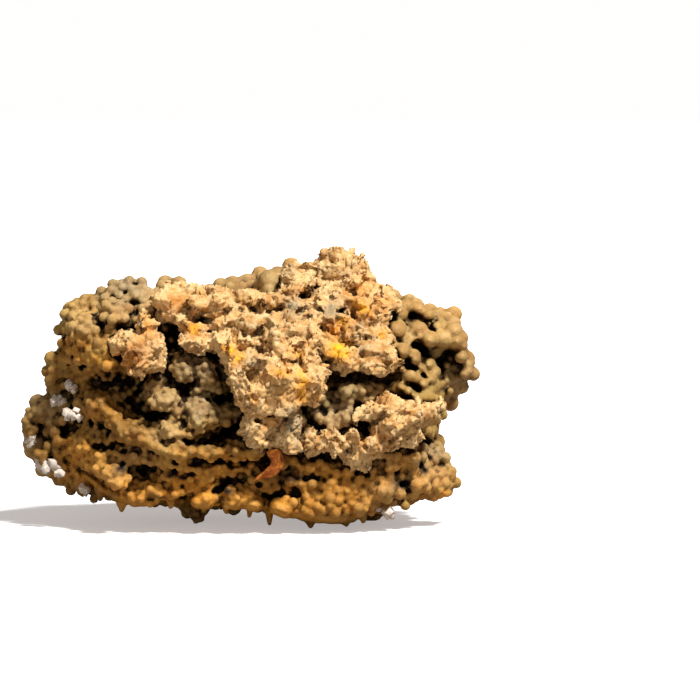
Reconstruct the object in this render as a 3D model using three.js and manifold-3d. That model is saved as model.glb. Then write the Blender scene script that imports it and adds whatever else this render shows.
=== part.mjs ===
// A hand-sized specimen of mottramite, standing as it is displayed, with its front towards -Y.
// The mineral grew as one knobbly mass of stacked ledges with rounded, grape-like rims and a few drips
// below. Remnants of the crumbly tan host rock sit on its top and front, small calcite crystals sit
// between its ledges, and one rusty flake is wedged in a crevice. Millimetres, +Z up.
import * as THREE from "three";
import { mergeVertices } from "three/addons/utils/BufferGeometryUtils.js";
import Module from "manifold-3d";

const wasm = await Module();
wasm.setup();

// Driving dimensions.
const width = 68;
const depth = 43;
const height = 41.4;
const seatGap = 0.3; // clearance between a seated piece and the pocket that holds it
const weld = 1e-4; // vertices closer than this are one vertex
const skinGap = 0.45; // the same, where a piece lies on the knobbly skin of the mass
const leastRoot = 3.2; // a knob reaches at least this far back into the mass, measured as a half size
const skinDetail = 14; // how finely the skin of the mass is divided
const frontCrowding = 0.22; // how much more of that division goes to the front than to the back
const fullness = 0.57; // a block's half size as a share of its size, which makes up for its cut corners
const middleHeight = 19;
const innerSheet = [20, 0, 10]; // half sizes of the sheet, inside the stone, that its skin is pushed out from

// A repeatable stream of numbers from 0 to 1, so that every build gives the same stone.
let seed = 20;
function chance() {
  seed = (seed * 1664525 + 1013904223) % 4294967296;
  return seed / 4294967296;
}
const vary = (share) => 1 + share * (2 * chance() - 1);

function solidFrom(geometry) {
  geometry.deleteAttribute("normal");
  geometry.deleteAttribute("uv");
  const merged = mergeVertices(geometry, weld);
  return new wasm.Manifold(
    new wasm.Mesh({
      numProp: 3,
      vertProperties: merged.attributes.position.array,
      triVerts: new Uint32Array(merged.index.array),
    }),
  );
}

function geometryFrom(solid) {
  const { vertProperties, triVerts } = solid.getMesh();
  const geometry = new THREE.BufferGeometry();
  geometry.setAttribute("position", new THREE.BufferAttribute(vertProperties, 3));
  geometry.setIndex(new THREE.BufferAttribute(triVerts, 1));
  const flat = geometry.toNonIndexed();
  flat.computeVertexNormals();
  return flat;
}

const union = (solids) => wasm.Manifold.union(solids);

function largestOf(solid) {
  const bodies = solid.decompose();
  return bodies.reduce((most, body) => (body.volume() > most.volume() ? body : most));
}

// A rounded knob of the mass: an egg shape with its half sizes along X, Y and Z.
const knob = (centre, halfSizes) => ({ centre, halfSizes });

// A knob that shows its front end at [x, z, front] and roots itself back into the mass.
function frontKnob([x, z, front], radius, root = 2.2) {
  const reach = Math.max(radius * root, leastRoot);
  return knob([x, front + reach, z], [radius, reach, radius]);
}

// A ledge: knobs side by side along a smooth line through the given [x, z, front] points.
function ledge(points, radius, { root = 2.4, flat = 0.9, pitch = 1.7 } = {}) {
  const line = new THREE.CatmullRomCurve3(points.map(([x, z, front]) => new THREE.Vector3(x, front, z)));
  const count = Math.max(1, Math.round(line.getLength() / (radius * pitch)));
  return line.getSpacedPoints(count).map((p) => {
    const r = radius * vary(0.12);
    const reach = Math.max(r * root, leastRoot);
    return knob([p.x, p.y + reach, p.z], [r, reach, r * flat]);
  });
}

// How far along a ray the furthest knob is left behind. Each knob is grown by the given amount.
function reachOf(origin, direction, knobs, grow) {
  let furthest = 0;
  for (const { centre, halfSizes } of knobs) {
    const from = [0, 1, 2].map((i) => (origin.getComponent(i) - centre[i]) / (halfSizes[i] + grow));
    const along = [0, 1, 2].map((i) => direction.getComponent(i) / (halfSizes[i] + grow));
    const a = along[0] ** 2 + along[1] ** 2 + along[2] ** 2;
    const b = from[0] * along[0] + from[1] * along[1] + from[2] * along[2];
    const c = from[0] ** 2 + from[1] ** 2 + from[2] ** 2 - 1;
    const inside = b * b - a * c;
    if (inside > 0) furthest = Math.max(furthest, (Math.sqrt(inside) - b) / a);
  }
  return furthest;
}

// How far forward, towards -Y, the knobs come at [x, z].
function frontOf(x, z, knobs) {
  const behind = new THREE.Vector3(x, depth / 2, z);
  return depth / 2 - reachOf(behind, new THREE.Vector3(0, -1, 0), knobs, 0);
}

// The skin over all the knobs: a finely divided ball whose every corner is pushed outwards, from a sheet
// in the middle of the stone, to where it leaves the last knob. Its corners crowd towards the front.
function skinOver(knobs, grow) {
  const geometry = new THREE.IcosahedronGeometry(1, skinDetail);
  const position = geometry.attributes.position;
  const corner = new THREE.Vector3();
  for (let i = 0; i < position.count; i++) {
    corner.fromBufferAttribute(position, i);
    corner.y -= frontCrowding;
    corner.normalize();
    const origin = corner.clone().multiply(new THREE.Vector3(...innerSheet));
    const target = corner.clone().multiply(new THREE.Vector3(width / 2, depth / 2, height / 2));
    const direction = target.sub(origin).normalize();
    origin.z += middleHeight;
    const skin = origin.addScaledVector(direction, reachOf(origin, direction, knobs, grow));
    position.setXYZ(i, skin.x, skin.y, skin.z);
  }
  return solidFrom(geometry);
}

// A broken block of host rock: a few-sided lump squared off along its own axes and tilted in the
// front plane. grow makes it larger all round, for cutting the pocket that it sits in.
function rockGeometry({ at: [x, z, front], size: [w, h, d], tilt, shape }, grow) {
  const geometry = new THREE.IcosahedronGeometry(1, shape.detail);
  const turn = new THREE.Euler(...shape.turn);
  geometry.applyMatrix4(new THREE.Matrix4().makeRotationFromEuler(turn));
  const position = geometry.attributes.position;
  const corner = new THREE.Vector3();
  for (let i = 0; i < position.count; i++) {
    corner.fromBufferAttribute(position, i);
    const most = Math.max(Math.abs(corner.x), Math.abs(corner.y), Math.abs(corner.z));
    corner.multiplyScalar(1 + 0.55 * (1 / most - 1) + 0.1 * Math.sin(9 * corner.x + 7 * corner.y + shape.phase));
    position.setXYZ(i, corner.x, corner.y, corner.z);
  }
  geometry.scale(fullness * w + grow, fullness * d + grow, fullness * h + grow);
  geometry.rotateY(THREE.MathUtils.degToRad(-tilt));
  geometry.translate(x, front + d / 2, z);
  return geometry;
}

function rockBlocks(blocks) {
  return blocks.map(([at, size, tilt]) => ({
    at,
    size,
    tilt,
    shape: {
      detail: Math.max(size[0], size[1]) > 5.5 ? 1 : 0,
      turn: [6.3 * chance(), 6.3 * chance(), 6.3 * chance()],
      phase: 6.3 * chance(),
    },
  }));
}

const rockSolid = (blocks, grow = 0) => union(blocks.map((block) => solidFrom(rockGeometry(block, grow))));

// A drip that hangs below [x, y]: a short knobbly cone, its tip at the given height.
function drip([x, y, tip], radius, length) {
  const cone = new THREE.ConeGeometry(radius, length, 6);
  cone.rotateX(-Math.PI / 2);
  cone.translate(x, y, tip + length / 2);
  return solidFrom(cone);
}

// A cluster of calcite rhombs, each leaning its own way, on the front of the knobs at [x, z].
function calciteRhombs([x, z], size, count, knobs, grow = 0) {
  const y = frontOf(x, z, knobs) - 0.4 * size;
  const leanings = [0, 38, -31, 64, -57];
  const blocks = [];
  for (let i = 0; i < count; i++) {
    const side = size * (1 - 0.16 * i) + 2 * grow;
    const block = new THREE.BoxGeometry(side, side * 0.9, side * 0.8);
    block.applyMatrix4(new THREE.Matrix4().makeShear(0, 0.25, 0, 0.2, 0, 0));
    const lean = THREE.MathUtils.degToRad(leanings[i]);
    block.rotateY(lean);
    block.rotateX(0.4 + 0.5 * lean);
    const step = 0.45 * size * (i % 2 ? 1 : -1) * Math.min(i, 1 + i / 3);
    block.translate(x + step, y, z + 0.35 * step + 0.1 * size * i);
    blocks.push(solidFrom(block));
  }
  return union(blocks);
}

// The heart of the mass: a thick block with a broad front, set back behind the rims of the ledges.
function core() {
  const columns = [
    { x: -20.5, levels: [11.5, 18.5, 27.5], half: [6.4, 6.2] },
    { x: -11, levels: [10, 18.5, 27.5], half: [6.8, 6.4] },
    { x: -1, levels: [9, 18.5, 28], half: [7, 6.2] },
    { x: 9, levels: [8.4, 18.5, 28.5], half: [7, 7] },
    { x: 18.5, levels: [9.6, 18.5, 28], half: [6.4, 6] },
  ];
  const frontBlock = columns.flatMap(({ x, levels, half: [across, up] }) =>
    levels.map((z) => knob([x, -1.4, z], [across, 10, up])),
  );
  return [
    ...frontBlock,
    knob([-5, 3, 17.5], [22.5, 13.5, 13]),
    knob([8, 3, 25.5], [15.5, 12, 11.5]),
    knob([5, 2, 8.6], [22, 12, 6.2]),
    knob([-25, 4, 13], [6, 8.5, 6.2]),
    knob([24.5, 2, 22], [6.5, 9, 8]),
    knob([23, 0, 8.6], [6.2, 8.5, 3.6]),
  ];
}

// The lowest layer: a smooth waxy skin that sags to the belly which the specimen rests on.
function bellySkin() {
  const rim = [
    [-21.5, 5.8, -11], [-14.5, 5.6, -14], [-7.5, 5.4, -14.8], [-0.5, 5, -15], [5.5, 3.9, -14.6],
    [11.5, 3.1, -14.2], [17, 3.7, -13.6], [22.5, 5.7, -12], [27, 6.2, -9],
  ];
  const belly = [
    knob([11, -7, 3.35], [7.6, 6.2, 3.6]),
    knob([13, 9.5, 3.9], [8, 6.5, 4.2]),
    knob([-8.2, 1.5, 5], [3.2, 3.4, 2.4]),
  ];
  return [...ledge(rim, 1.9, { root: 3, flat: 0.85, pitch: 2.1 }), ...belly];
}

function lowerLeftLedges() {
  return [
    ...ledge([[-30, 8, 0], [-27, 9.2, -6], [-24, 8.4, -10.5], [-21.5, 8.8, -13]], 1.3),
    ...ledge([[-28.5, 12.2, -4], [-26, 13.4, -8], [-23.6, 12.5, -11.5], [-20.6, 11.3, -13]], 1.25),
    ...ledge([[-23.6, 19.2, -11.5], [-21.6, 18.4, -13], [-19.5, 16.8, -14.2], [-17, 15.1, -15.6]], 1.15),
    ...ledge([[-27.5, 6.6, -1], [-24.6, 6, -5], [-21.4, 5.4, -8]], 1.5),
    frontKnob([-19.6, 8.9, -15], 1.9),
    frontKnob([-17.2, 11.5, -15.4], 1.15),
    frontKnob([-15.2, 11.3, -15.2], 1),
    frontKnob([-19.3, 12, -14.4], 0.95),
    frontKnob([-15.6, 14.5, -16.4], 1.3),
    frontKnob([-13.8, 14, -16.4], 1.1),
    frontKnob([-11.3, 15.6, -16.4], 1.25),
    frontKnob([-12.9, 15.4, -15.8], 0.85),
    frontKnob([-10.4, 14.3, -16.2], 0.9),
  ];
}

function middleLedges() {
  return [
    ...ledge([[-12.6, 12.4, -15.6], [-9, 12.1, -16.4], [-5, 12, -16.6], [-1, 12.1, -15.8], [2, 12.3, -14.6]], 1.15),
    ...ledge([[-14, 10.2, -13.6], [-9.5, 10.2, -14.2], [-6, 10.6, -14.2], [-2, 9.6, -14], [2, 9, -13.4]], 1.05),
    ...ledge([[-13.6, 8.1, -14.6], [-9, 8.2, -15], [-4.5, 8.8, -14.6]], 0.95),
    ...ledge([[-9.6, 15.3, -15.6], [-6.6, 15.9, -16], [-3.4, 17.2, -15.2], [0, 18.4, -14]], 1.2, { root: 3.4 }),
    frontKnob([-7.1, 18.2, -16.6], 2),
    frontKnob([-5.3, 17.7, -16], 1.5),
    frontKnob([-10.1, 18, -15.4], 1.05),
    frontKnob([-13.7, 20.1, -15.4], 1.3),
    frontKnob([-11.4, 20.3, -15.2], 1.3),
    frontKnob([-12.2, 22.5, -14.2], 0.95),
    frontKnob([-14.2, 22.6, -13.4], 0.85),
    frontKnob([-8, 20.6, -14.8], 1.15),
    frontKnob([-6, 21.4, -14.4], 1.1),
    frontKnob([-5.1, 23.1, -14.6], 1.1),
    frontKnob([-3.2, 22, -14.2], 1.5),
    frontKnob([-10.2, 25.7, -13.8], 1.1),
    frontKnob([-9.5, 24.2, -14], 1.1),
    frontKnob([-6.7, 24.6, -14.4], 1.1),
  ];
}

function shoulderKnobs() {
  return [
    ...ledge([[-27, 26.6, -6.5], [-24.6, 25.8, -10.6], [-21.6, 26.2, -12.4], [-19.4, 25.8, -12.8]], 1.25),
    ...ledge([[-26.6, 33, -5], [-23.8, 34, -6.5], [-20.6, 34.8, -6.5], [-17.6, 35.4, -6], [-14, 34.8, -6]], 1.5),
    frontKnob([-27, 31.2, -6.6], 1.4),
    frontKnob([-25, 31.2, -10.6], 1.4),
    frontKnob([-26.2, 28.6, -9.6], 1.6),
    frontKnob([-24.1, 29.6, -11], 1.25),
    frontKnob([-22.6, 28.2, -12.4], 1.15),
    frontKnob([-20.6, 29.7, -11.4], 0.9),
    frontKnob([-19.4, 32.8, -12], 2.3),
    frontKnob([-17, 32.6, -12], 1.4),
    frontKnob([-14.1, 33.6, -11.2], 1.25),
    frontKnob([-15.4, 32.2, -12], 1.05),
    frontKnob([-24.4, 23.4, -10.4], 1.1),
    frontKnob([-20.4, 22.4, -10.6], 1.1),
    frontKnob([-17.6, 20.6, -10.8], 1.15),
  ];
}

function leftFlank() {
  return [
    ...ledge([[-27.8, 25, -2], [-28, 22.4, -1.4], [-27.6, 19.6, -3], [-27, 17, -4.6]], 2.1),
    knob([-31.2, 5.5, 16.4], [2.7, 4.4, 2.5]),
    knob([-29.8, 2, 14.4], [2.6, 4.4, 2.8]),
    knob([-31.5, 6, 13.6], [2.4, 4, 2.2]),
    knob([-30.6, 7, 10.6], [2.2, 4.4, 2.3]),
    knob([-28.6, 4, 17.4], [2.4, 4.6, 2]),
  ];
}

function rightLobes() {
  return [
    ...ledge([[20.6, 32.8, -9], [22.8, 30.8, -9.4], [25.6, 29.3, -8.6], [28.4, 28.5, -6.4], [30.6, 28.3, -4]], 2, { root: 2.4 }),
    ...ledge([[19.4, 28.5, -13], [22, 27.6, -13], [24.6, 26.3, -12], [27, 24.6, -10], [28, 22.6, -8]], 1.45),
    ...ledge([[22, 23.6, -13.6], [24.6, 23.2, -13], [26.6, 21.9, -11], [28, 20.2, -8.6]], 1.3),
    ...ledge([[23.4, 21.4, -13.6], [25.4, 20.4, -12.4], [26.8, 19, -11]], 1.05),
    knob([24.6, 2, 32.4], [2.4, 4, 1.9]),
    knob([26.6, 2.5, 31.6], [1.7, 3.6, 1.6]),
    knob([29.8, 3, 29.4], [2.3, 4.6, 2]),
    knob([31.6, 3, 27.9], [1.7, 4, 1.9]),
    knob([31.6, 4, 24.6], [2.2, 4.4, 2]),
    knob([31.2, 3.6, 22.2], [2.3, 4.4, 2]),
    knob([32.6, 4.4, 23.2], [1.5, 3, 1.6]),
    knob([29.6, 4, 23.6], [1.8, 4.4, 2.4]),
    knob([30.2, 6, 20.6], [1.5, 3, 1.2]),
    frontKnob([26.3, 15.1, -5], 2),
    frontKnob([25.2, 14, -6], 1.3),
  ];
}

function lowerRightKnobs() {
  return [
    ...ledge([[5, 11.7, -13], [8.4, 11.6, -13.6], [11.6, 11.2, -13.2], [15, 10.8, -12.6], [19, 11.2, -12]], 1.1),
    ...ledge([[5.4, 9.7, -12.4], [9, 9.3, -12.6], [13, 9.2, -12.6], [17, 9.6, -12.4]], 1.05),
    ...ledge([[6, 7.6, -13], [9.4, 7.4, -13.2], [13, 7.1, -13.6], [17.4, 7.1, -13.6]], 1.25),
    ...ledge([[8.8, 5.5, -13.8], [12, 5.3, -14.2], [15.4, 5.2, -14]], 1.4),
    ...ledge([[19.6, 7, -12.6], [22.2, 6.9, -12.2], [25, 6.8, -10.8]], 1.35),
    frontKnob([14.7, 3.2, -14.8], 1),
    frontKnob([16.9, 3.3, -14.8], 1.3),
    frontKnob([22.4, 11, -11.6], 1.25),
    frontKnob([24.6, 11.4, -9.6], 1.4),
    frontKnob([27, 11.2, -6.4], 1.7),
    frontKnob([28.4, 9.2, -4.6], 1.7),
    frontKnob([27, 8.2, -7.4], 1.8),
    frontKnob([29.4, 7, -4], 1.6),
  ];
}

// The knobbly olive patch that shows between the blocks of host rock.
function olivePatch() {
  return [
    ...ledge([[8.8, 18.4, -14.8], [11.4, 18, -15.4], [14, 17.6, -15.4]], 1.5),
    ...ledge([[10.8, 20.6, -14.6], [13.4, 21.2, -15], [16.4, 21, -15], [19, 20.4, -14.6]], 1.55),
    ...ledge([[9, 16.4, -15], [12.2, 15.6, -15.4], [15, 15.6, -15.2]], 1.4),
    knob([3.4, -2.4, 36.6], [2.9, 4.6, 2.7]),
    knob([2.4, -5, 35.4], [2.2, 3, 1.9]),
  ];
}

// Rows of knobs round the back, level above level, from the right side to the left one.
function backLedges() {
  const levels = [
    { z: 5.4, across: 20, back: 14, radius: 2.9 },
    { z: 11, across: 26, back: 16.8, radius: 3.3 },
    { z: 17, across: 26.6, back: 17.8, radius: 3.4 },
    { z: 23, across: 26.4, back: 17.6, radius: 3.4 },
    { z: 28.8, across: 23.6, back: 15, radius: 3.3 },
    { z: 33.4, across: 16.4, back: 9.6, radius: 2.9 },
  ];
  return levels.flatMap(({ z, across, back, radius }, level) => {
    const count = Math.round((Math.PI * (across + back)) / 2 / (radius * 2));
    const knobs = [];
    for (let i = 0; i <= count; i++) {
      const angle = (Math.PI * (i + 0.5 * (level % 2))) / count;
      const reach = vary(0.06);
      const centre = [across * Math.cos(angle) * reach, back * Math.sin(angle) * reach, z + 1.1 * (2 * chance() - 1)];
      const r = radius * vary(0.16);
      knobs.push(knob(centre, [r, r, r * 0.86]));
    }
    return knobs;
  });
}

function crownKnobs() {
  return [
    knob([-17.6, 1, 34], [3.4, 4, 2.7]),
    knob([-22, 0, 32.6], [3, 4, 2.6]),
    knob([-11, 4, 33], [4, 4.4, 3]),
    knob([-3, 5, 32.6], [5, 5, 3]),
    knob([5, 6, 35], [4.4, 4.4, 3]),
    knob([13, 6, 35], [4.4, 4.6, 3.2]),
    knob([20, 5, 31.6], [3.6, 4.4, 3]),
  ];
}

function drips() {
  return [
    drip([-8.2, 1.5, -0.9], 2.2, 5.2),
    drip([-18.9, -9, 2.9], 1, 2.6),
    drip([-3, -9, 2.4], 0.9, 3.2),
    drip([0.4, -8.6, 1.9], 0.7, 3.6),
    drip([3.4, -8, 0.7], 0.85, 3.8),
    drip([-23, -3, 3.6], 1.5, 3.6),
    drip([-26.6, 0, 4.6], 1.3, 3),
    drip([-20.6, -4.4, 3.8], 1.1, 3.2),
    drip([-14, 6, 2.4], 1.3, 4),
    drip([-3, 10, 2.2], 1.2, 4),
    drip([3.4, 3, 1.6], 1.2, 4),
    drip([28.6, -3.6, 4.2], 1, 2.4),
  ];
}

// What is left of the host rock on the top and the upper front: [[x, z, front], [w, h, d], tilt].
const upperRock = rockBlocks([
  [[-10.4, 34, -12.6], [4.8, 4.4, 9], 0],
  [[-6.9, 34.1, -12.8], [4.6, 4.4, 9], -8],
  [[-3.4, 33.5, -12.6], [4.6, 3.9, 8], -14],
  [[-0.6, 33.6, -12.2], [3.6, 2.8, 8], 10],
  [[2.6, 33.4, -12.6], [5, 2.4, 8], -6],
  [[5, 34.2, -11.4], [3.2, 2.6, 7], 30],
  [[-6.8, 28.4, -15.6], [3.8, 2.2, 8], 12],
  [[-4, 29.4, -15], [3.8, 3, 8], 0],
  [[-1.4, 29.8, -14.6], [3.8, 3.8, 8], 0],
  [[2.8, 30.8, -14.6], [6, 3.6, 8], 20],
  [[7.3, 28.4, -16.8], [6.4, 6, 8], -10],
  [[8.6, 31.6, -14], [5.4, 3.4, 8], -18],
  [[0.4, 26.8, -17.6], [4.4, 3.4, 7], -24],
  [[3.6, 22.8, -20], [10.6, 6.8, 8], -4],
  [[-1, 22.8, -18.8], [3.2, 7, 7], 12],
  [[9.8, 23, -18.2], [4.6, 3.4, 6], 32],
  [[1.5, 18.7, -17.4], [3, 3.6, 7], 0],
  [[2.2, 15.8, -18.2], [4.9, 4.5, 8], 8],
  [[5.9, 15.8, -17.2], [3.9, 5, 7], -12],
  [[8.4, 38, -6.6], [6.6, 2.5, 8], 6],
  [[7, 36, -8.8], [4.4, 1.9, 6], 4],
  [[11, 35.6, -9.4], [3.4, 3, 7], 0],
  [[13.5, 39.5, -5.6], [5.6, 3.6, 8], 0],
  [[17.1, 37.4, -5], [2.6, 3.8, 7], 14],
  [[13.4, 36.6, -8.4], [2.8, 3.4, 7], -10],
  [[16.4, 35.5, -8.4], [4.2, 3.6, 8], -14],
  [[19.4, 34.8, -7.4], [3.8, 2.6, 8], -24],
  [[17, 32.8, -11.2], [4.4, 3.2, 7], 24],
  [[12.6, 33.2, -10.8], [4, 2.6, 7], 20],
  [[14.6, 31.3, -12.4], [3.4, 3, 7], -30],
  [[18.6, 30.9, -12.6], [3.8, 3.2, 7], -10],
  [[12.4, 29.4, -13.8], [3.8, 3.8, 7], 0],
  [[14.4, 26.8, -16], [5.2, 2.8, 6], -42],
  [[18.6, 26.4, -15.4], [6.6, 3.2, 7], -20],
  [[20.2, 29.4, -13.8], [3.8, 2, 6], 6],
]);

const lowerRock = rockBlocks([
  [[22.6, 17.6, -15.8], [6.2, 4.8, 7], -14],
  [[17.7, 15.6, -17], [5.4, 2.6, 5], 42],
  [[18, 13.2, -15.4], [4.4, 3.4, 6], -20],
  [[13.6, 13.5, -15.8], [5.8, 2.2, 6], -4],
  [[10.2, 14, -15], [4.4, 2.1, 6], -24],
  [[26.4, 17.7, -12.4], [4.8, 4.6, 7], -12],
  [[21.9, 14.4, -14.4], [4.4, 4, 7], 0],
  [[19, 18.3, -15.8], [2.8, 3.6, 6], 30],
]);

const shoulderRock = rockBlocks([
  [[-15.3, 27, -15.8], [4.8, 4.8, 7], 0],
  [[-18, 29, -14.2], [3.6, 1.7, 5], 16],
  [[-13.9, 29.8, -14.6], [2.2, 4, 5], 34],
]);

// The calcite: [name, [x, z], size, rhombs in the cluster].
const calcitePlaces = [
  ["calcite_left_top", [-26.3, 21.6], 1.8, 2],
  ["calcite_left_outer", [-28.9, 18.9], 1.8, 2],
  ["calcite_left_inner", [-25.2, 17.8], 1.9, 3],
  ["calcite_lobe_upper", [-31.6, 12.9], 1.9, 3],
  ["calcite_lobe_lower", [-31.2, 9.5], 2.2, 2],
  ["calcite_low_left", [-28.6, 9.3], 2.3, 3],
  ["calcite_under_left", [-24.2, 6.3], 2, 2],
  ["calcite_crevice", [1.3, 12.6], 1.6, 2],
  ["calcite_low_right", [20.6, 3.2], 1.9, 3],
];

// The rusty flake wedged in the crevice, its outline as seen from the front.
function rustyFlake(grow = 0) {
  const outline = [[1, 8.3], [3.6, 9], [4.7, 9.3], [5.8, 11.4], [5.4, 13], [3, 12.5], [3.7, 10.6]];
  const thickness = 1.1;
  const front = -16.4;
  const middle = new THREE.Vector2(4.2, 10.7);
  const corners = outline.map(([x, z]) => {
    const corner = new THREE.Vector2(x, z);
    const outward = corner.clone().sub(middle).normalize();
    return corner.addScaledVector(outward, grow);
  });
  const shape = new THREE.Shape(corners);
  const plate = new THREE.ExtrudeGeometry(shape, { depth: thickness + 2 * grow, bevelEnabled: false });
  plate.rotateX(Math.PI / 2);
  plate.translate(0, front + thickness + grow, 0);
  return solidFrom(plate);
}

// A block larger than the stone, to trim the feet of the specimen level with the surface below it.
function belowSurface() {
  const block = new THREE.BoxGeometry(3 * width, 3 * depth, height);
  block.translate(0, 0, -height / 2);
  return solidFrom(block);
}

const flake = rustyFlake();
const rocks = {
  host_rock_upper: { blocks: upperRock, colour: 0xc9a46c },
  host_rock_lower_right: { blocks: lowerRock, colour: 0xc9a062 },
  host_rock_shoulder: { blocks: shoulderRock, colour: 0xc08e55 },
};

const knobs = [
  ...core(),
  ...bellySkin(),
  ...lowerLeftLedges(),
  ...middleLedges(),
  ...shoulderKnobs(),
  ...leftFlank(),
  ...rightLobes(),
  ...lowerRightKnobs(),
  ...olivePatch(),
  ...backLedges(),
  ...crownKnobs(),
];
const smallSeats = union([
  ...calcitePlaces.map(([, place, size, count]) => calciteRhombs(place, size, count, knobs, seatGap)),
  rustyFlake(seatGap),
]);
const mass = union([skinOver(knobs, 0), ...drips()]).subtract(belowSurface());
const massAndGap = skinOver(knobs, skinGap);

const specimen = new THREE.Group();
specimen.name = "mottramite_specimen";

function addPiece(name, solid, colour, roughness) {
  const material = new THREE.MeshStandardMaterial({ color: colour, roughness, metalness: 0, flatShading: true });
  const mesh = new THREE.Mesh(geometryFrom(solid), material);
  mesh.name = name;
  specimen.add(mesh);
}

addPiece("mottramite", mass, 0x8f7a3c, 0.75);
for (const [name, { blocks, colour }] of Object.entries(rocks)) {
  addPiece(name, largestOf(rockSolid(blocks).subtract(massAndGap).subtract(smallSeats)), colour, 0.9);
}
for (const [name, place, size, count] of calcitePlaces) {
  addPiece(name, largestOf(calciteRhombs(place, size, count, knobs).subtract(massAndGap)), 0xf3ede6, 0.35);
}
addPiece("rusty_flake", largestOf(flake.subtract(massAndGap)), 0xa3561c, 0.7);

// The frame's origin is the middle of the footprint of the whole specimen, on the surface it stands on.
const box = new THREE.Box3().setFromObject(specimen);
const middle = box.getCenter(new THREE.Vector3());
specimen.position.set(-middle.x, -middle.y, -box.min.z);

export default specimen;
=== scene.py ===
# A hand-sized mottramite specimen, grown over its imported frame: the knobbly crust, what is left of the
# host rock, the calcite between the ledges and one rusty flake. The settings are in millimetres, with
# +X to the right, +Z up and the front towards -Y.
import math

import bpy
import numpy as np
from mathutils import Matrix, Vector
from mathutils.bvhtree import BVHTree
from mathutils.kdtree import KDTree


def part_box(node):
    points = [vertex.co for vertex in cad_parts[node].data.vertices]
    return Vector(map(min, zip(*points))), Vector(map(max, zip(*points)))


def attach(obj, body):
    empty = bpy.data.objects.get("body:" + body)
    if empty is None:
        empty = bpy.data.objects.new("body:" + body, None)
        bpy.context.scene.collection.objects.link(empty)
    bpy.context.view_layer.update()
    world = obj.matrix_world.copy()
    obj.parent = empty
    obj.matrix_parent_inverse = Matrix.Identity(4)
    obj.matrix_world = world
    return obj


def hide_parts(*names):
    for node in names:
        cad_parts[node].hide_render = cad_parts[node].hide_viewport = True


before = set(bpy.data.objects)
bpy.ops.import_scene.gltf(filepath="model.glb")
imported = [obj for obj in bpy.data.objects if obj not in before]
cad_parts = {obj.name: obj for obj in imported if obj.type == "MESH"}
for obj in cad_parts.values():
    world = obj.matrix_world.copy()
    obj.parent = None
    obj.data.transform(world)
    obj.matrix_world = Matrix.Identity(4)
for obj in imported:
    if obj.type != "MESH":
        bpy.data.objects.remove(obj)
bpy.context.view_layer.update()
mm = 0.001
chance = np.random.default_rng(11870)


viewSettings = {
    "aim": (15.3, -6.0, 26.9),  # what lies in the middle of the picture
    "distance": 620.0,
    "elevation": 4.0,
    "picture width": 104.6,  # how many millimetres across the picture shows at the front of the stone
}


def placeCamera():
    lens = bpy.data.cameras.new("view")
    camera = bpy.data.objects.new("view", lens)
    bpy.context.collection.objects.link(camera)
    rise = math.radians(viewSettings["elevation"])
    aim = Vector(viewSettings["aim"]) * mm
    camera.location = aim + Vector((0, -math.cos(rise), math.sin(rise))) * viewSettings["distance"] * mm
    camera.rotation_euler = (math.pi / 2 - rise, 0, 0)
    lens.sensor_width = 36
    lens.lens = 36 * viewSettings["distance"] / viewSettings["picture width"]
    lens.clip_start = 0.01
    lens.clip_end = 20
    bpy.context.scene.camera = camera


placeCamera()


# Small workshop helpers

def selectOnly(piece):
    bpy.ops.object.select_all(action="DESELECT")
    piece.select_set(True)
    bpy.context.view_layer.objects.active = piece


def applied(piece, kind, **settings):
    selectOnly(piece)
    modifier = piece.modifiers.new(kind.lower(), kind)
    for key, value in settings.items():
        setattr(modifier, key, value)
    bpy.ops.object.modifier_apply(modifier=modifier.name)
    return piece


def fuse(piece, voxel, rounds=1, factor=0.5):
    applied(piece, "REMESH", mode="VOXEL", voxel_size=voxel * mm, use_smooth_shade=True)
    if rounds:
        applied(piece, "SMOOTH", factor=factor, iterations=rounds)
    return piece


def joined(pieces, name):
    bpy.ops.object.select_all(action="DESELECT")
    for piece in pieces:
        piece.select_set(True)
    bpy.context.view_layer.objects.active = pieces[0]
    bpy.ops.object.join()
    pieces[0].name = name
    return pieces[0]


def copyOf(piece, name):
    copy = bpy.data.objects.new(name, piece.data.copy())
    bpy.context.collection.objects.link(copy)
    return copy


def mergedCopy(node, name):
    piece = copyOf(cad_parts[node], name)
    selectOnly(piece)
    bpy.ops.object.mode_set(mode="EDIT")
    bpy.ops.mesh.select_all(action="SELECT")
    bpy.ops.mesh.remove_doubles(threshold=1e-6)
    bpy.ops.object.mode_set(mode="OBJECT")
    return piece


def pointsOf(piece):
    points = np.empty(len(piece.data.vertices) * 3)
    piece.data.vertices.foreach_get("co", points)
    return points.reshape(-1, 3) / mm


def normalsOf(piece):
    normals = np.empty(len(piece.data.vertices) * 3)
    piece.data.vertex_normals.foreach_get("vector", normals)
    return normals.reshape(-1, 3)


def movePoints(piece, points):
    piece.data.vertices.foreach_set("co", (points * mm).ravel())
    piece.data.update()


def facesOf(piece):
    piece.data.calc_loop_triangles()
    faces = np.empty(len(piece.data.loop_triangles) * 3, dtype=np.int64)
    piece.data.loop_triangles.foreach_get("vertices", faces)
    return faces.reshape(-1, 3)


def treeOf(piece):
    return BVHTree.FromPolygons(pointsOf(piece).tolist(), [tuple(f.vertices) for f in piece.data.polygons])


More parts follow.
